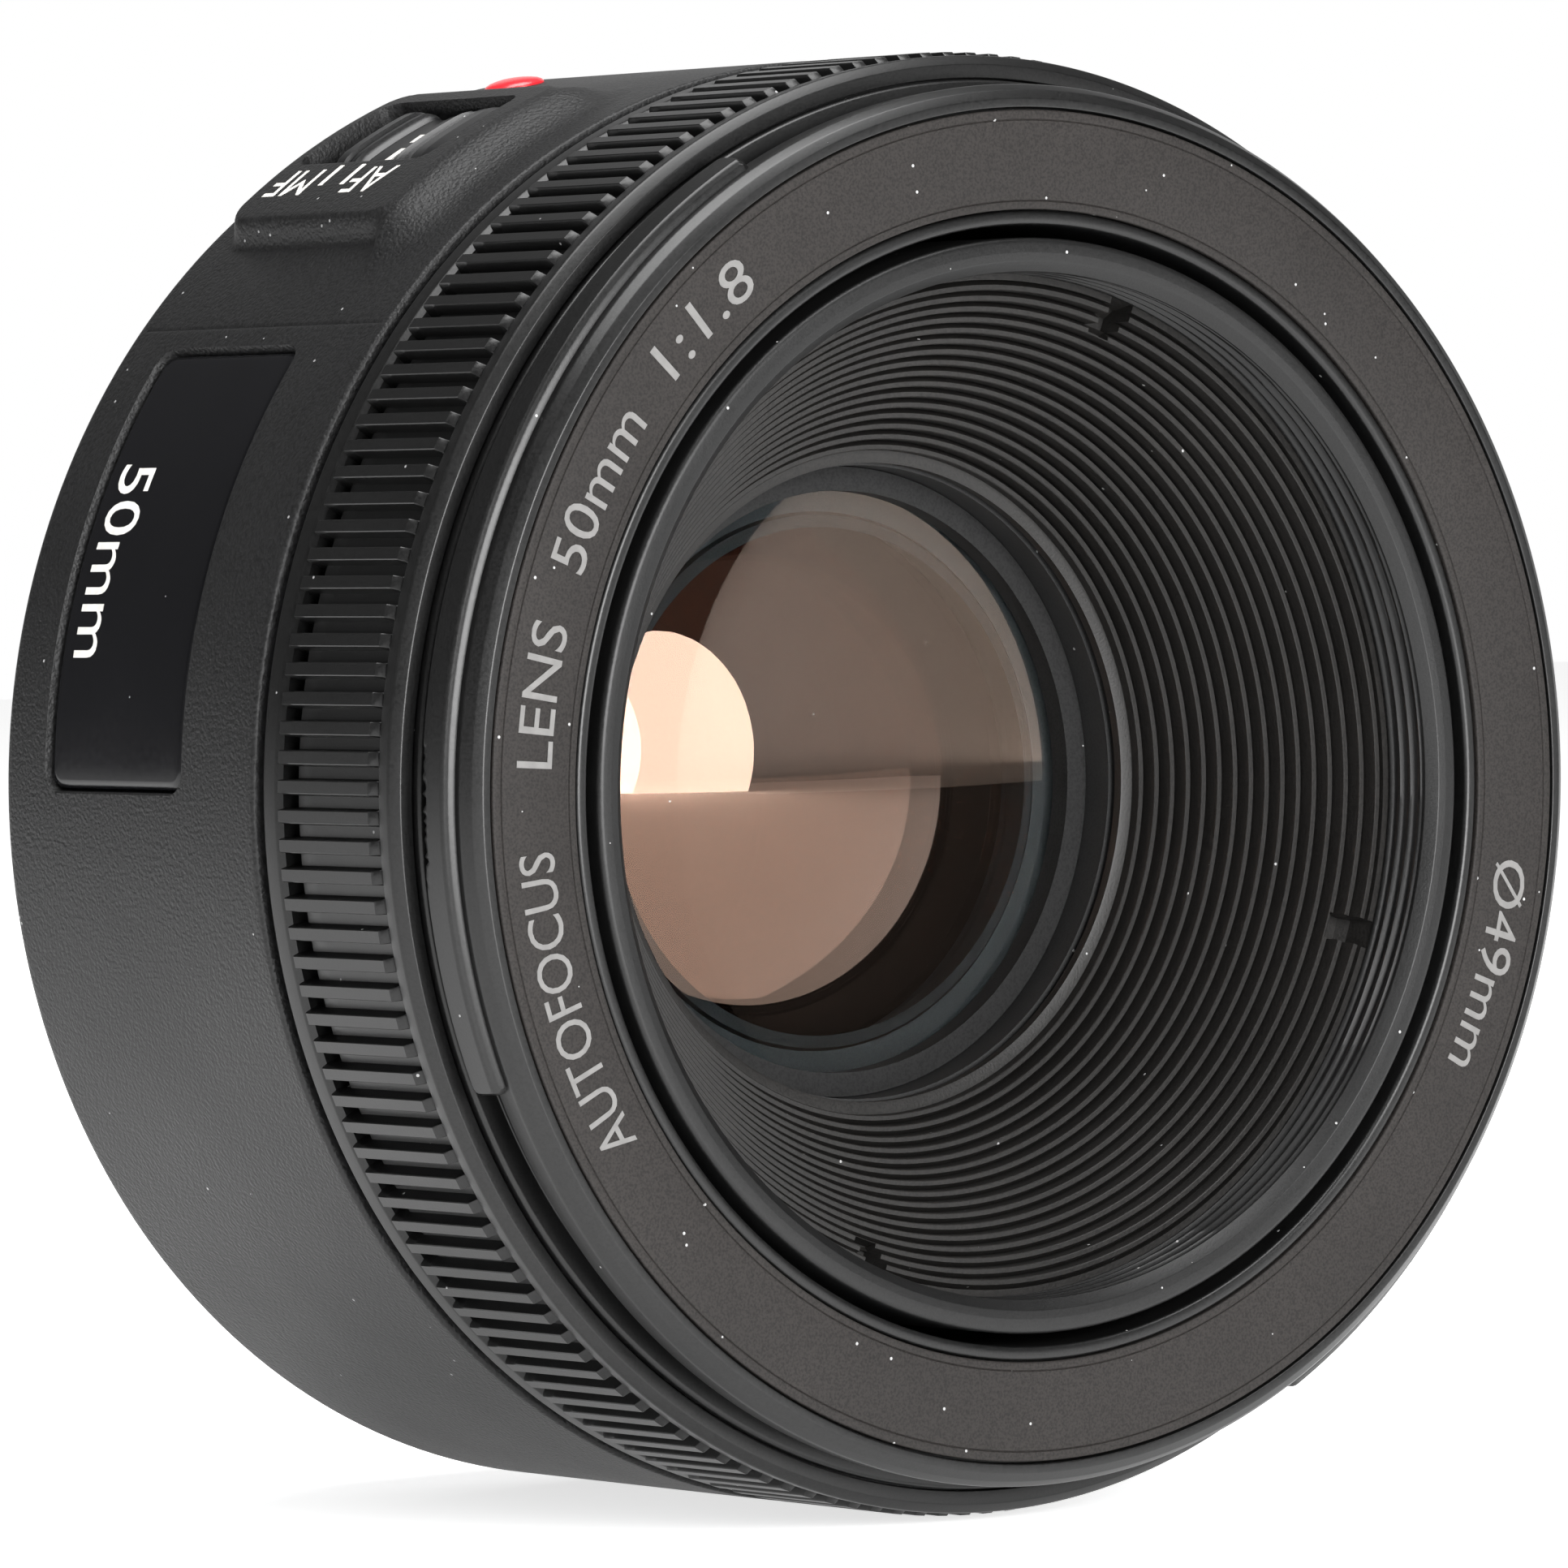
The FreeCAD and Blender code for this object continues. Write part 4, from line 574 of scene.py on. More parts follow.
@dataclass(frozen=True)
class Label:
    """Flat lettering fitted to a width and height, then carried onto the lens."""

    name: str
    text: str
    width: float
    height: float
    thickness: float = 0.03

    def make(self, place: Placing, material: Material, body: str, slot: str) -> None:
        """Make the lettering.

        Args:
            place: Point on the lens for a distance along the text, a height and a rise.
            material: Its paint.
            body: Body that it moves with.
            slot: Material slot of the record; not used.
        """
        curve = bpy.data.curves.new(self.name + "_curve", "FONT")
        curve.body, curve.extrude, curve.resolution_u = self.text, 0.01, 4
        holder = add_object(self.name + "_holder", curve)
        bpy.context.view_layer.update()
        mesh = bpy.data.meshes.new_from_object(holder.evaluated_get(bpy.context.evaluated_depsgraph_get()))
        bpy.data.objects.remove(holder)
        bpy.data.curves.remove(curve)
        points = np.empty(len(mesh.vertices) * 3, np.float32)
        mesh.vertices.foreach_get("co", points)
        points = points.reshape(-1, 3)
        low, high = points.min(0), points.max(0)
        along, up, rise = ((points - low) / (high - low)).T
        placed = place(along * self.width, up * self.height, rise * self.thickness) * MM
        mesh.vertices.foreach_set("co", placed.astype(np.float32).ravel())
        mesh.materials.clear()
        make_piece(self.name, mesh, material, body)


# ---- rear barrel ----

@dataclass(frozen=True)
class Spot:
    """Round place on the barrel."""

    angle: float
    station: float
    radius: float


@dataclass
class RearBarrel(Assembly):
    """Outer shell with its switch pad, side plate, red index and printed labels."""

    radius: float = 34.6
    pad: Panel = Panel(120.4, 12.45, 9.8, 6.45, 1.2)
    pad_height: float = 1.2
    pad_slope: float = 1.05
    front_slope: float = 2.3
    window: Panel = Panel(117.9, 12.05, 5.1, 5.35, 0.9)
    window_depth: float = 2.1
    recess: Panel = Panel(161.05, 12.7, 18.55, 5.7, 1.0)
    recess_depth: float = 0.8
    dot: Spot = Spot(101.0, 6.8, 1.48)
    wall: float = 0.07
    seam_angle: float = 140.4
    seam_width: float = 0.07
    seam_depth: float = 0.06
    step: float = 0.07
    plate_face: float = 34.385
    plate_floor: float = 33.8
    plate_gap: float = 0.1
    plate_text: Place = (153.0, 8.25)
    label_angle: float = 124.1
    mark_angle: float = 123.6

    def relief(self, angle: Array, station: Array) -> Array:
        """Height over the plain barrel: the pad's slope, longest in front, less window, recess and seam."""
        ahead = np.clip(station - self.pad.station - self.pad.half_length + 0.6, 0, 1)
        slope = self.pad_slope + self.front_slope * ahead
        height = self.pad_height * smooth(self.pad.distance(angle, station), -0.1, slope)
        inside = smooth(self.window.distance(angle, station), -self.wall, self.wall)
        height = height * (1 - inside) + (self.pad_height - self.window_depth) * inside
        height -= self.recess_depth * smooth(self.recess.distance(angle, station), -self.wall, self.wall)
        seam = np.radians(angle - self.seam_angle) * self.radius / self.seam_width
        return height - self.seam_depth * np.exp(-seam * seam)

    def make_shell(self) -> None:
        """Outer wall over angle and station, closed by the front edge, the inside and the rear."""
        angle_edges, station_edges = [(self.seam_angle, 0.2, 0.05)], []
        for panel, reach, step in ((self.window, 1.0, self.step), (self.recess, 1.1, self.step),
                                   (self.pad, 1.6, 0.2)):
            angles, stations = panel.edges(reach, step)
            angle_edges += angles
            station_edges += stations
        turn = graded(80.0, 440.0, 1.5, *angle_edges)[:-1]
        outer = graded(4.3, 23.9, 0.9, *station_edges)
        inside = softened([(34.6, 23.9), (34.6, 24.4), (32.6, 24.4), (32.6, 3.4), (24.8, 3.4), (24.8, 1.6),
                           (32.6, 1.6), (34.6, 3.7), (34.6, 4.3)],
                          [0, 0.22, 0.1, 0.1, 0.1, 0.2, 0.5, 1.2, 0], 5)[5:-5]
        wall = self.radius + self.relief(turn[None], outer[:, None])
        shell = turned(turn, wall, outer, inside)
        self.cover("rear_barrel_shell", shell, "barrel_plastic", "rear_barrel", 40.0)

    def make_plate(self) -> None:
        """Plate: its bevelled edge is carried round the outline, and the face is its shrunken copies."""
        floor = self.plate_floor
        half_turn = math.radians(self.recess.half_angle) * self.radius - self.plate_gap
        half_length = self.recess.half_length - self.plate_gap
        rings = [(1.0, 0.0, floor), (1.0, 0.0, 34.12), (1.0, 0.05, 34.22), (1.0, 0.28, 34.36),
                 (1.0, 0.36, 34.38)]
        rings += [(share, 0.45, self.plate_face) for share in np.linspace(1.0, 0.0, 12)]
        rings += [(share, 0.0, floor) for share in (0.0, 0.25, 0.5, 0.75)]
        across, along, radius = [], [], []
        for share, inset, height in rings:
            turn, length = half_turn - inset, half_length - inset
            edge = spread(softened([(turn, length), (-turn, length), (-turn, -length), (turn, -length)],
                                   0.95 - inset, 8), 24)
            across.append(edge[:, 0] * share)
            along.append(edge[:, 1] * share)
            radius.append(np.full(len(edge), height))
        angle = self.recess.angle + np.degrees(np.array(across) / self.radius)
        shell = woven(on_lens(np.array(radius), angle, self.recess.station + np.array(along)))
        self.cover("side_plate_gloss", shell, "gloss_plate", "side_plate", 28.0)

    def make_dot(self) -> None:
        """Red dome on a short wall: rings that shrink as they rise, laid on the curved barrel."""
        share = np.array([1.0, 1.0, 0.93, 0.8, 0.6, 0.4, 0.2, 0.0])[:, None]
        height = np.array([-0.12, 0.1, 0.2, 0.29, 0.36, 0.40, 0.418, 0.42])[:, None]
        turn = np.arange(48)[None] * 2 * math.pi / 48
        share, height = np.vstack([share, [[0.0]]]), np.vstack([height, [[-0.12]]])
        across, along = self.dot.radius * share * np.cos(turn), self.dot.radius * share * np.sin(turn)
        angle = self.dot.angle + np.degrees(across / self.radius)
        sag = across * across / (2 * self.radius)
        shell = woven(on_lens(self.radius + height - sag * (height > 0.3), angle, self.dot.station + along))
        self.cover("index_dome", shell, "index_red", "index_dot")

    def make_labels(self) -> None:
        """Focal length on the plate, and the two focus modes with their marks beside the switch."""
        paint = self.materials["white_paint"]
        pad_top = self.radius + self.pad_height
        text_angle, text_station = self.plate_text

        def on_plate(along: Array, up: Array, rise: Array) -> Array:
            """Text that runs with the angle, tops to the front."""
            return on_lens(self.plate_face - 0.01 + rise, text_angle + np.degrees(along / self.radius),
                           text_station + up)

        Label("plate_focal_length", "50mm", 9.7, 2.8).make(on_plate, paint, self.body, "gloss_plate")

        def on_pad(start: float) -> Placing:
            """Text that runs from front to rear, tops away from the switch."""
            return lambda along, up, rise: on_lens(pad_top - 0.015 + rise,
                                                   self.label_angle + np.degrees(up / pad_top), start - along)

        for name, text, start, width in (("label_auto", "AF", 16.2, 2.8), ("label_manual", "MF", 10.1, 3.1)):
            Label(name, text, width, 2.1).make(on_pad(start), paint, self.body, "barrel_plastic")
        across, along = softened([(0, 0), (1.7, 0), (1.7, 0.34), (0, 0.34)], 0.05, 2).T
        share, rise = np.array([(0.0, -0.01), (1.0, -0.01), (1.0, 0.015), (0.0, 0.015)]).T[:, :, None]
        across = across.mean() + (across - across.mean()) * share
        along = along.mean() + (along - along.mean()) * share
        for name, station in (("mark_auto", 12.7), ("mark_manual", 10.9)):
            bar = on_lens(pad_top + rise, self.mark_angle + np.degrees(across / pad_top), station + along)
            make_piece(name, woven(bar, closed_rows=False).mesh(name), paint, self.body)

    def make(self) -> None:
        """Make every piece of the rear barrel."""
        self.make_shell()
        self.make_plate()
        self.make_dot()
        self.make_labels()


# ---- switch ----

@dataclass
class ModeSwitch(Assembly):
    """Sliding knob with a smooth bar, grip ridges and a white index line.

    Its features run from the rear to the front, each with its places: a station and a drop below the top.
    """

    body: str = "mode_switch"
    start: float = 113.15
    sweep: float = 9.5
    top: float = 35.6
    floor: float = 33.85
    back: float = 8.74
    front: float = 17.18
    rear_edge: tuple[Place, ...] = ((8.74, 0.9), (8.81, 0.1), (9.0, 0.0), (9.6, 0.0), (9.66, 0.3),
                                    (9.95, 0.35), (10.0, 0.1), (10.35, 0.1))
    hollow: tuple[Place, ...] = ((10.45, 0.3), (10.7, 0.5), (12.3, 0.5))
    line_seat: tuple[Place, ...] = ((12.5, 0.34), (13.2, 0.34))
    ridges: tuple[Place, ...] = ((13.45, 0.34), (13.55, 0.12), (13.8, 0.35), (13.95, 0.12), (14.2, 0.4),
                                 (14.35, 0.12), (14.62, 0.45))
    bar: tuple[Place, ...] = ((14.75, 0.16), (15.0, 0.06), (15.95, 0.0), (16.9, 0.06), (17.1, 0.25),
                              (17.18, 0.9))
    line_angles: Place = (117.6, 122.2)
    line_stations: Place = (12.62, 13.08)
    line_depth: float = 0.06
    line_rise: float = 0.02
    shoulder: float = 34.3

    def crest(self, station: Array | float) -> Array:
        """Height of the knob along its travel: the top less the drop of the features, joined in line."""
        features = np.array(self.rear_edge + self.hollow + self.line_seat + self.ridges + self.bar)
        return self.top - np.interp(station, features[:, 0], features[:, 1])

    def make(self) -> None:
        """Section along the travel, carried round the barrel, its ends rounded down and closed."""
        station = graded(self.back, self.front, 0.06)
        section = np.vstack([np.column_stack([self.crest(station), station]),
                             [(self.floor, self.front), (self.floor, self.back)]])
        part, size, slope = np.array([
            [0, 0, 0.008, 0.03, 0.07, 0.12, 0.2, 0.35, 0.5, 0.65, 0.8, 0.88, 0.93, 0.97, 0.992, 1, 1],
            [0, 0.9, 0.95, 0.98] + [1] * 9 + [0.98, 0.95, 0.9, 0],
            [0, 0.5, 0.35, 0.22, 0.08, 0.02, 0, 0, 0, 0, 0.02, 0.1, 0.22, 0.35, 0.48, 0.62, 0]])[:, None]
        middle = section.mean(0)
        radius = middle[0] + (section[:, :1] - middle[0]) * size
        radius = np.where(section[:, :1] > self.shoulder, radius - slope, radius)
        along = middle[1] + (section[:, 1:] - middle[1]) * size
        shell = woven(on_lens(radius, self.start + part * self.sweep, along), closed_columns=False)
        self.cover("mode_switch_knob", shell, "switch_plastic", "af_mf_switch", 25.0)
        height = self.crest(np.mean(self.line_stations))
        bar = on_lens(np.array([height - self.line_depth, height + self.line_rise])[:, None, None],
                      np.array(self.line_angles)[None, :, None], np.array(self.line_stations)[None, None, :])
        faces = np.array([(0, 1, 3, 2), (4, 6, 7, 5), (0, 4, 5, 1), (2, 3, 7, 6), (0, 2, 6, 4), (1, 5, 7, 3)])
        name, line = "mode_switch_line", Shell(bar.reshape(-1, 3), faces).outward()
        make_piece(name, line.mesh(name), self.materials["white_paint"], self.body)


# ---- focus ring ----

@dataclass
class FocusRing(Assembly):
    """Ribbed ring: glossy rear lip, 160 ribs with dark notches behind, and a front rim."""

    body: str = "focus_ring"
    count: int = 160
    valley: float = 34.0
    crest: float = 34.6
    notch: float = 33.35

    def rib(self, part: Array) -> Array:
        """Height of a rib across its pitch, 0 in the valley and 1 on its bevelled flat top."""
        away = np.abs(part - 0.5)
        return np.interp(away, [0.2, 0.23, 0.255, 0.28, 0.3], [1.0, 0.94, 0.75, 0.1, 0.0])

    def make(self) -> None:
        """Outer wall over angle and station: the valley plus the rib, whose front end is chamfered."""
        offsets = np.array([0, 0.2, 0.22, 0.245, 0.27, 0.3, 0.5, 0.7, 0.73, 0.755, 0.78, 0.8])
        part = np.tile(offsets, self.count)
        turn = (np.repeat(np.arange(self.count), len(offsets)) + part) * FULL_TURN / self.count
        station = np.array([26.3, 26.32, 26.42, 26.7, 27.0, 27.1, 27.18, 27.3, 28.5, 30.5, 32.5, 33.45, 33.6,
                            33.75, 33.88, 33.98, 34.04])
        floor = np.interp(station, [26.95, 27.2], [self.notch, self.valley])
        top = np.interp(station, [26.3, 26.42, 33.6, 33.95, 34.04],
                        [34.52, self.crest, self.crest, 34.27, 34.05])
        ribs = floor[:, None] + (top - floor)[:, None] * self.rib(part)
        rim = softened([(34.04, 34.06), (34.36, 34.12), (34.40, 34.9), (33.95, 35.3), (33.3, 35.3),
                        (33.3, 34.85), (32.25, 34.85), (32.25, 24.75), (34.25, 24.75), (34.45, 25.1),
                        (34.42, 25.95), (34.2, 26.28)],
                       [0, 0.1, 0.25, 0.12, 0.05, 0.05, 0.1, 0.1, 0.12, 0.2, 0.3, 0.05], 4)
        shell = turned(turn, ribs, station, rim)
        self.cover("focus_ring_grip", shell, "ring_plastic", "focus_ring", 30.0)


# ---- front barrel ----

@dataclass
class FrontBarrel(Assembly):
    """Front casing with its hood lugs, and the lettered ring in its face."""

    lug_start: float = 118.6
    lug_sweep: float = 85.0
    lug_radius: float = 33.6
    lug_back: float = 36.2
    lug_front: float = 38.05
    lug_bevel: float = 0.32
    lug_taper: float = 0.12
    chip_step: float = 0.35
    chip_depth: float = 0.55
    letter_radius: float = 28.4
    letter_height: float = 2.0
    letter_face: float = 39.27
    worn: tuple[float, float] = (181.0, 5.5)
    rng: np.random.Generator = field(default_factory=lambda: np.random.default_rng(7))

    def lug(self, angle: Array, station: Array) -> Array:
        """Radius of the lugs, 0 away from them: a top that falls forwards, bevelled at every edge."""
        half = self.lug_sweep / 2
        middle = self.lug_start + half
        panels = [Panel(middle + turn, (self.lug_back + self.lug_front) / 2, half,
                        (self.lug_front - self.lug_back) / 2, 0.5, self.lug_radius) for turn in (0, 180)]
        away = np.minimum(*(panel.distance(angle, station) for panel in panels))
        taper = self.lug_taper * (station - self.lug_back) / (self.lug_front - self.lug_back)
        top = self.lug_radius - self.lug_bevel * smooth(-away, 0.0, 0.3) - taper
        return np.where(away < 0, top, 0.0) - self.chips(angle, station) * (away < 0)

    def chips(self, angle: Array, station: Array) -> Array:
        """Worn bites in the rear edge of one lug: uneven depth where it was knocked, fading forwards."""
        knots = np.arange(0.0, 361.0, self.chip_step)
        depth = self.rng.random(len(knots)) ** 1.5
        where = np.interp(angle % FULL_TURN, knots, depth)
        near = np.clip(1 - np.abs((angle % FULL_TURN) - self.worn[0]) / self.worn[1], 0, 1) ** 0.5
        return self.chip_depth * where * near * smooth(station, self.lug_back + 0.1, self.lug_back + 0.6)

    def make_shell(self) -> None:
        """Turned wall, with the lugs standing on its outer side."""
        ends = [(self.lug_start + turn, 1.4, 0.12) for turn in (0, 180, self.lug_sweep, 180 + self.lug_sweep)]
        turn = graded(100.0, 460.0, 1.0, *ends, (self.worn[0], self.worn[1] + 1, 0.175))[:-1]
        outer = graded(35.9, 37.95, 0.07, (self.lug_back, 0.05, 0.012))
        outer = np.concatenate([outer, np.arange(38.0, 38.2, 0.05)])
        base = np.interp(outer, [35.9, 36.98, 37.02, 37.2, 38.2], [32.0, 32.0, 32.1, 32.84, 32.9])
        rest = softened([(32.9, 38.2), (32.92, 38.45), (32.62, 38.95), (32.2, 39.28), (31.8, 39.28),
                         (31.78, 38.65), (26.95, 38.65), (26.95, 39.2), (26.3, 39.2), (26.3, 27.0),
                         (27.3, 27.0), (27.3, 36.8), (31.2, 36.8), (31.2, 22.0), (32.2, 22.0), (32.2, 34.95),
                         (33.2, 34.95), (33.2, 35.7), (32.0, 35.7), (32.0, 35.9)],
                        [0, 0.5, 0.3, 0.14, 0.06, 0.05, 0.05, 0.2, 0.25] + [0.1] * 7 + [0.18, 0.22, 0.1, 0],
                        4)[4:-4]
        wall = np.maximum(base[:, None], self.lug(turn[None], outer[:, None]))
        shell = turned(turn, wall, outer, rest)
        self.cover("front_barrel_shell", shell, "front_plastic", "front_barrel", 35.0)

    def make_name_ring(self) -> None:
        """Flat ring with a fine line cut near each edge."""
        face = self.letter_face
        corners = [(27.02, 38.7), (31.68, 38.7), (31.68, face)]
        for radius in (31.2, 27.42):
            corners += [(radius + 0.05, face), (radius, face - 0.08), (radius - 0.05, face)]
        corners.append((27.02, face))
        outline = softened(corners, [0.05, 0.05, 0.1] + [0.01] * 6 + [0.1], 3)
        shell = woven(on_lens(outline[:, :1], np.arange(360.0)[None], outline[:, 1:]))
        self.cover("name_ring_face", shell, "name_ring_plastic", "name_ring", 35.0)

    def make_lettering(self) -> None:
        """Generic words and numbers round the ring, reading clockwise with their tops outwards."""
        middle = self.letter_radius + self.letter_height / 2

        def from_angle(start: float) -> Placing:
            """Text that starts at an angle and runs against it."""
            return lambda along, up, rise: on_lens(
                self.letter_radius + up, start - np.degrees(along / middle), self.letter_face - 0.005 + rise)

        words = (("autofocus", "AUTOFOCUS", 213.0, 184.5), ("lens", "LENS", 177.0, 164.0),
                 ("focal_length", "50mm", 159.0, 143.2), ("aperture", "1:1.8", 138.0, 125.2),
                 ("filter_size", "Ø49mm", -8.5, -29.0))
        for name, text, start, stop in words:
            width = math.radians(start - stop) * middle
            Label("lettering_" + name, text, width, self.letter_height).make(
                from_angle(start), self.materials["grey_paint"], self.body, "name_ring_plastic")

    def make(self) -> None:
        """Make every piece of the front barrel."""
        self.make_shell()
        self.make_name_ring()
        self.make_lettering()


# ---- sliding optical barrel ----

@dataclass
class InnerBarrel(Assembly):
    """Sliding barrel with its filter thread, and the ribbed cone inside it."""

    body: str = "inner_barrel"
    pitch: float = 0.75
    minor: float = 24.1
    major: float = 24.48
    thread_back: float = 36.1
    thread_front: float = 38.62
    ribs: int = 16
    cone_top: float = 23.8
    cone_lip: float = 15.9
    cone_rim: float = 35.95
    lip_front: float = 26.3
    notches: tuple[float, ...] = (71.0, 161.0, 251.0, 341.0)
    notch_depth: float = 1.9

    def make_barrel(self) -> None:
        """Turned wall with a real thread: its radius follows the station less a pitch for each turn."""
        turn = np.arange(300) * FULL_TURN / 300
        thread = np.arange(self.thread_back, self.thread_front, self.pitch / 12)
        phase = (thread[:, None] / self.pitch - turn[None] / FULL_TURN) % 1.0
        tooth = np.interp(phase, [0, 0.12, 0.44, 0.56, 0.88, 1.0], [0, 0, 1, 1, 0, 0])
        fade = np.clip((thread - self.thread_back) / 0.3, 0, 1)[:, None]
        threaded = self.minor + (self.major - self.minor) * tooth * fade
        rest = softened([(self.minor, self.thread_front), (24.12, 38.7), (24.6, 39.15), (25.0, 39.2),
                         (25.7, 39.2), (25.7, 26.4), (22.15, 26.4), (22.15, 6.0), (20.6, 6.0), (20.6, 27.6),
                         (24.3, 27.6), (24.3, 36.0), (24.1, 36.03), (self.minor, self.thread_back)],
                        [0, 0.04, 0.12, 0.2, 0.3, 0.2, 0.1, 0.1, 0.1, 0.1, 0.1, 0.05, 0.02, 0], 4)[4:-4]
        shell = turned(turn, threaded, thread, rest)
        self.cover("inner_barrel_thread", shell, "inner_barrel_plastic", "inner_barrel", 35.0)

    def make_cone(self) -> None:
        """Stepped cone: each rib is a land and a slope, and the last one has four notches."""
        step, rise = (self.cone_top - self.cone_lip) / self.ribs, (self.cone_rim - self.lip_front) / self.ribs
        corners = [(15.3, 25.75), (15.3, 26.25), (15.42, self.lip_front)]
        for rib in range(self.ribs):
            radius, station = self.cone_lip + rib * step, self.lip_front + rib * rise
            corners += [(radius, station + 0.1 * rise), (radius + 0.02, station + 0.93 * rise),
                        (radius + 0.06, station + rise), (radius + 0.52 * step, station + rise),
                        (radius + 0.6 * step, station + rise - 0.05), (radius + step, station + rise - 0.45)]
        corners += [(self.cone_top, self.cone_rim), (24.2, self.cone_rim), (24.2, 34.9), (16.6, 25.75)]
        outline = np.array(corners)
        edges = [(notch + side, 0.35, 0.06) for notch in self.notches for side in (-1.55, 1.55)]
        turn = graded(50.0, 410.0, 1.2, *edges)[:-1]
        away = np.min([np.abs((turn - notch + 180) % FULL_TURN - 180) for notch in self.notches], axis=0)
        open_notch = smooth(away, 1.5, 1.6)[None]
        radius, station = np.repeat(outline[:, :1], len(turn), 1), np.repeat(outline[:, 1:], len(turn), 1)
        last = (outline[:, 0] > self.cone_top - 1.25) & (outline[:, 1] > self.cone_rim - 1.3)
        last &= outline[:, 0] < self.cone_top + 0.3
        station[last] -= open_notch * np.maximum(station[last] - (self.cone_rim - self.notch_depth), 0)
        shell = woven(on_lens(radius, turn[None], station))
        self.cover("baffle_cone_ribs", shell, "cone_black", "baffle_cone", 25.0)

    def make(self) -> None:
        """Make the barrel and the cone."""
        self.make_barrel()
        self.make_cone()


@dataclass(frozen=True)
class Element:
    """Lens element between two spheres, with a ground rim."""

    name: str
    finish: str
    rim: float
    back: float
    front: float
    front_vertex: float
    front_curve: float
    rear_vertex: float
    rear_curve: float

    @staticmethod
    def sphere(distance: Array, vertex: float, curve: float) -> Array:
        """Station of a sphere at a distance from the axis: the vertex less curve - root(curve^2 - d^2)."""
        if not curve:
            return np.full_like(distance, vertex)
        return vertex - curve + math.copysign(1, curve) * np.sqrt(curve * curve - distance * distance)

    def make(self, materials: Materials) -> None:
        """Front face, ground rim and rear face, turned round the axis."""
        distance = self.rim * np.sin(np.linspace(0, math.pi / 2, 26))
        front = np.column_stack([distance, self.sphere(distance, self.front_vertex, self.front_curve)])
        rear = np.column_stack([distance, self.sphere(distance, self.rear_vertex, self.rear_curve)])[::-1]
        outline = np.vstack([front, rear])
        outline[:, 1] = np.clip(outline[:, 1], self.back, self.front)
        turn = np.arange(128) * FULL_TURN / 128
        shell = woven(on_lens(outline[:, :1], turn[None], outline[:, 1:]), closed_rows=False)
        name = self.name + "_polished"
        make_piece(name, shell.mesh(name), materials[self.finish], "inner_barrel",
                   [self.name], 30.0)


ELEMENTS = (
    Element("lens_element_1", "coated_glass", 14.6, 20.85, 26.0, 26.0, 29.5, 21.7, 120.0),
    Element("lens_element_2", "amber_glass", 12.4, 14.9, 21.1, 21.1, 18.5, 16.9, 35.0),
    Element("lens_element_3", "rose_glass", 10.9, 11.6, 16.6, 16.6, 35.0, 15.4, 14.0),
    Element("lens_element_4", "rose_glass", 9.9, 2.7, 7.5, 3.9, -13.5, 2.7, 0.0),
    Element("lens_element_5", "rose_glass", 11.0, -1.4, 2.68, 2.68, 0.0, -1.4, -20.0),
    Element("lens_element_6", "rear_glass", 11.6, -4.8, -1.7, -1.7, 60.0, -4.8, -60.0),
)


# ---- plain model nodes ----

def dress_nodes(materials: Materials) -> None:
    """Give every model node the material of its slot in the record."""
    slots = {row["node"]: row["material_slot"] for row in frame["record"]["subparts"]}
    for name, node in frame["nodes"].items():
        node.data.materials.clear()
        node.data.materials.append(materials[slots[name]])


# ---- studio ----

@dataclass(frozen=True)
class Softbox:
    """Elliptical area light that points at the lens."""

    name: str
    azimuth: float
    elevation: float
    distance: float
    width: float
    height: float
    radiance: float

    def make(self) -> None:
        """Place the light round the lens; its power is radiance times pi times its area."""
        light = bpy.data.lights.new(self.name, "AREA")
        light.shape, light.size, light.size_y = "ELLIPSE", self.width, self.height
        light.energy = self.radiance * math.pi * self.width * self.height * math.pi / 4
        add_object(self.name, light).matrix_world = facing(self.azimuth, self.elevation, 0.0, self.distance)


def view_axes(azimuth: float, elevation: float, roll: float = 0.0) -> tuple[Array, Array, Array]:
    """Backward, right and up directions of a view round the lens, azimuth 0 looking along +Y."""
    a, e, r = (math.radians(turn) for turn in (azimuth, elevation, roll))
    back = np.array([math.sin(a) * math.cos(e), -math.cos(a) * math.cos(e), math.sin(e)])
    right = np.array([math.cos(a), math.sin(a), 0.0])
    up = np.cross(back, right)
    return back, math.cos(r) * right + math.sin(r) * up, math.cos(r) * up - math.sin(r) * right


def facing(azimuth: float, elevation: float, roll: float, distance: float,
           aim: Triple = (0.0, 0.0, 0.0)) -> Matrix:
    """Matrix of a light or camera that stands at a distance from the aim point and looks at it."""
    back, right, up = view_axes(azimuth, elevation, roll)
    columns = np.column_stack([right, up, back, np.array(aim) + back * distance])
    return Matrix(np.vstack([columns, [0, 0, 0, 1]]).tolist())


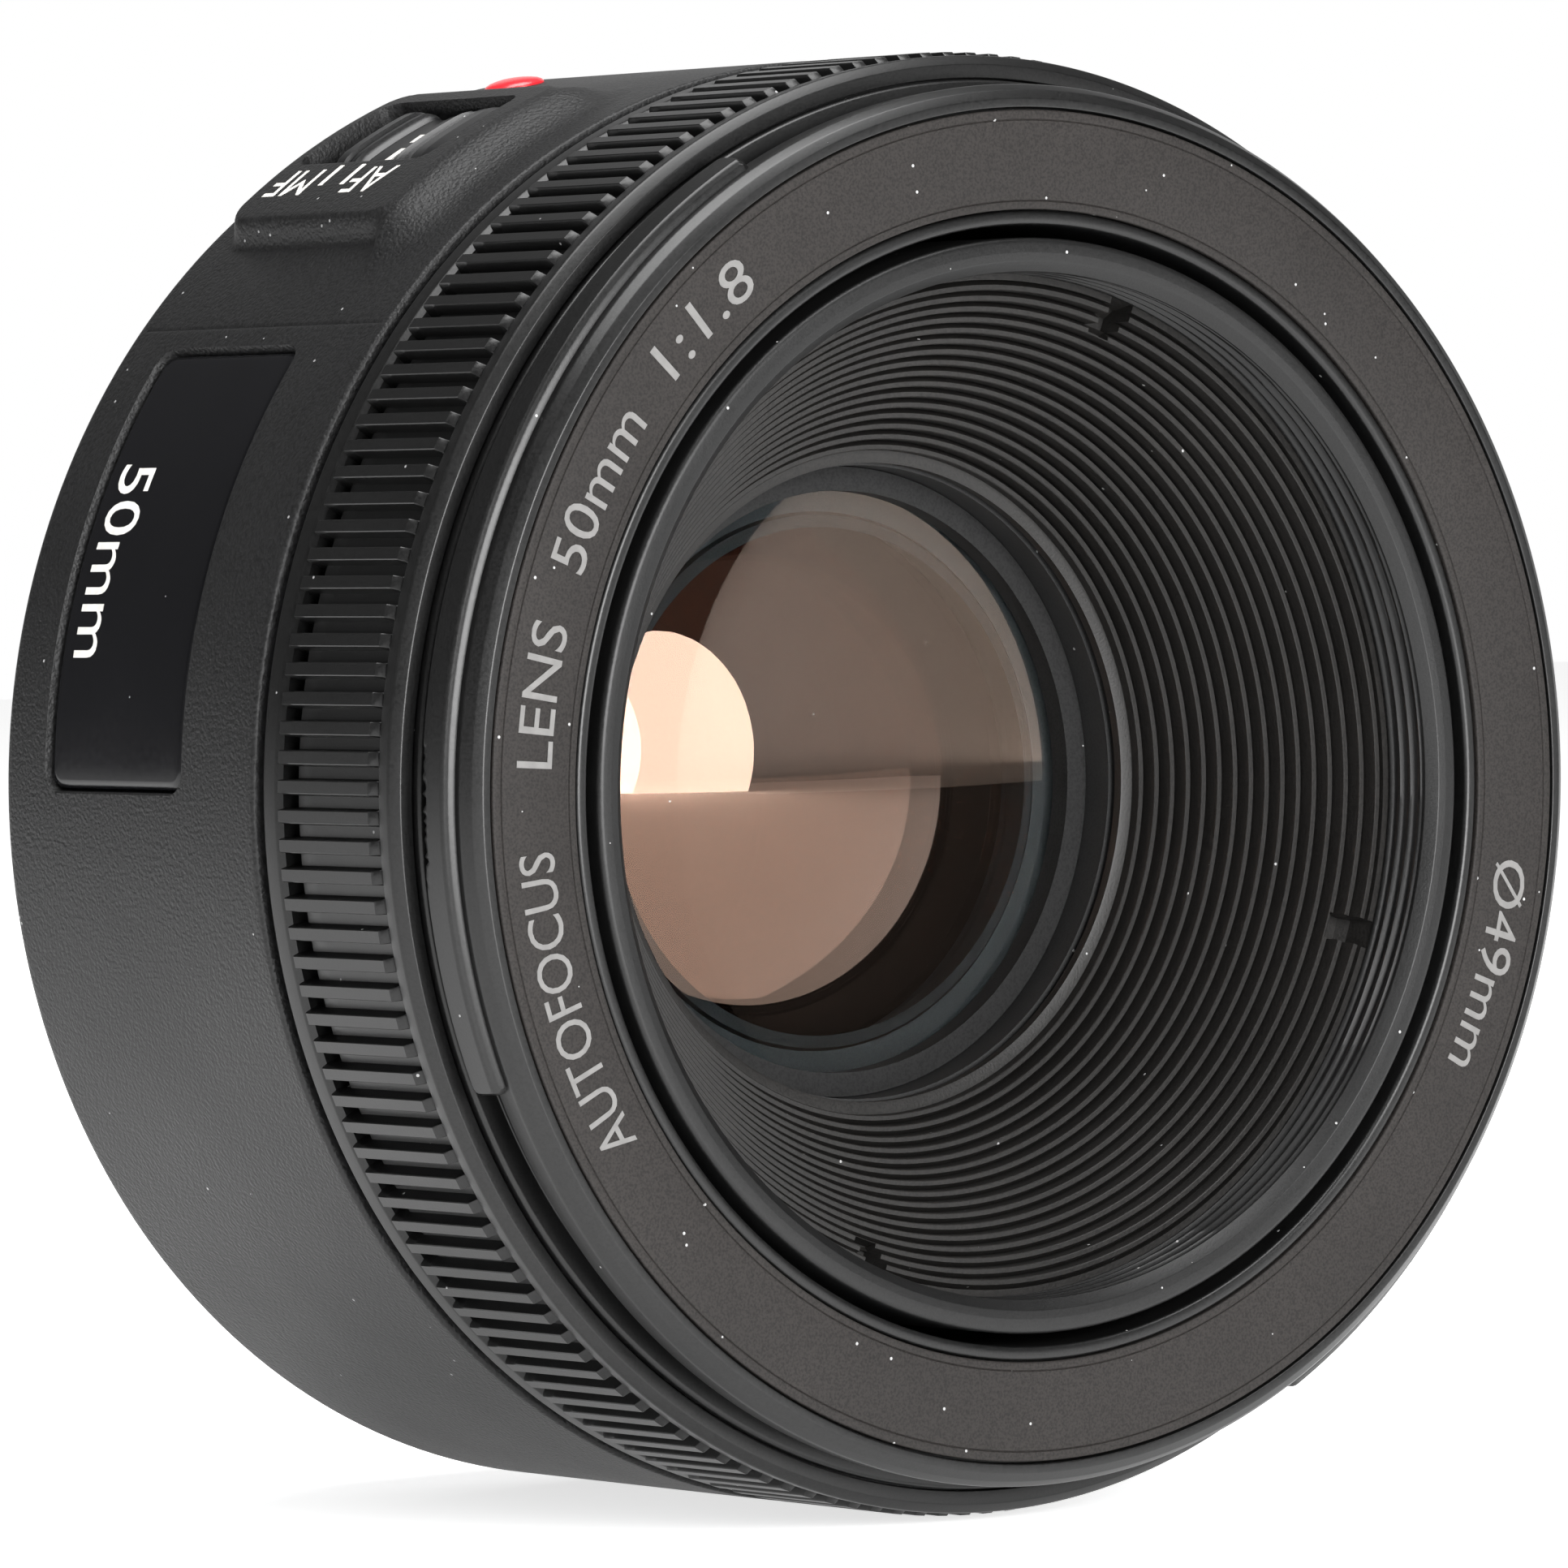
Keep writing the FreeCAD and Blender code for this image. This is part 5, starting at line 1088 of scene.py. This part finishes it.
@dataclass
class Studio:
    """Pale floor, soft light and the camera."""

    azimuth: float = -37.17
    elevation: float = 1.466
    roll: float = -0.703
    distance: float = 0.52
    aim: Triple = (0.01011, -0.00589, -0.00059)
    focal_length: float = 238.684
    floor_size: float = 4.0
    floor_gap: float = 0.0002
    backdrop_edge: float = 0.70
    backdrop_full: float = 0.97
    room: float = 0.15

    def make_camera(self) -> None:
        """Camera that looks at the aim point."""
        data = bpy.data.cameras.new("camera")
        data.lens, data.sensor_width, data.clip_start = self.focal_length, 36.0, 0.01
        camera = add_object("camera", data)
        camera.matrix_world = facing(self.azimuth, self.elevation, self.roll, self.distance, self.aim)
        bpy.context.scene.camera = camera

    def make_floor(self) -> None:
        """Flat pale floor under the lowest point of the lens."""
        low = CAD_BOX[0][2] - self.floor_gap
        half = self.floor_size / 2
        mesh = bpy.data.meshes.new("floor")
        mesh.from_pydata([(-half, -half, low), (half, -half, low), (half, half, low), (-half, half, low)], [],
                         [(0, 1, 2, 3)])
        graph = Graph("floor_paper")
        graph.set(Base_Color=grey(0.93), Roughness=0.9, Emission_Color=grey(1.0), Emission_Strength=0.7)
        mesh.materials.append(graph.material)
        add_object("floor", mesh)

    def make_light(self) -> None:
        """Surroundings that brighten to white ahead of the camera, and the soft boxes.

        The brightness follows the dot product of a direction with the camera's own.
        """
        world = bpy.data.worlds.new("studio")
        world.use_nodes = True
        tree = world.node_tree
        place = tree.nodes.new("ShaderNodeTexCoord")
        toward = tree.nodes.new("ShaderNodeVectorMath")
        toward.operation = "DOT_PRODUCT"
        toward.inputs[1].default_value = tuple(-view_axes(self.azimuth, self.elevation)[0])
        shade = tree.nodes.new("ShaderNodeMapRange")
        for index, value in enumerate((self.backdrop_edge, self.backdrop_full, self.room, 1.0)):
            shade.inputs[index + 1].default_value = value
        tree.links.new(place.outputs["Generated"], toward.inputs[0])
        tree.links.new(toward.outputs["Value"], shade.inputs[0])
        tree.links.new(shade.outputs[0], tree.nodes["Background"].inputs[0])
        bpy.context.scene.world = world
        bpy.context.scene.view_settings.view_transform = "Standard"
        for box in (Softbox("box_above", -15.0, 84.0, 0.9, 0.9, 0.6, 9.5),
                    Softbox("box_front", -6.0, 6.0, 0.8, 0.50, 0.62, 19.0),
                    Softbox("box_left", -100.0, 8.0, 1.0, 0.3, 0.5, 0.3)):
            box.make()

    def make(self) -> None:
        """Make the studio."""
        self.make_camera()
        self.make_floor()
        self.make_light()


def main() -> None:
    """Build the lens and its studio in order."""
    logging.basicConfig(level=logging.INFO, format="%(name)s %(message)s")
    materials = make_finishes()
    dress_nodes(materials)
    for assembly in (RearBarrel, ModeSwitch, FocusRing, FrontBarrel, InnerBarrel):
        assembly(materials).make()
    for element in ELEMENTS:
        element.make(materials)
    Studio().make()


if __name__ == "__main__":
    main()
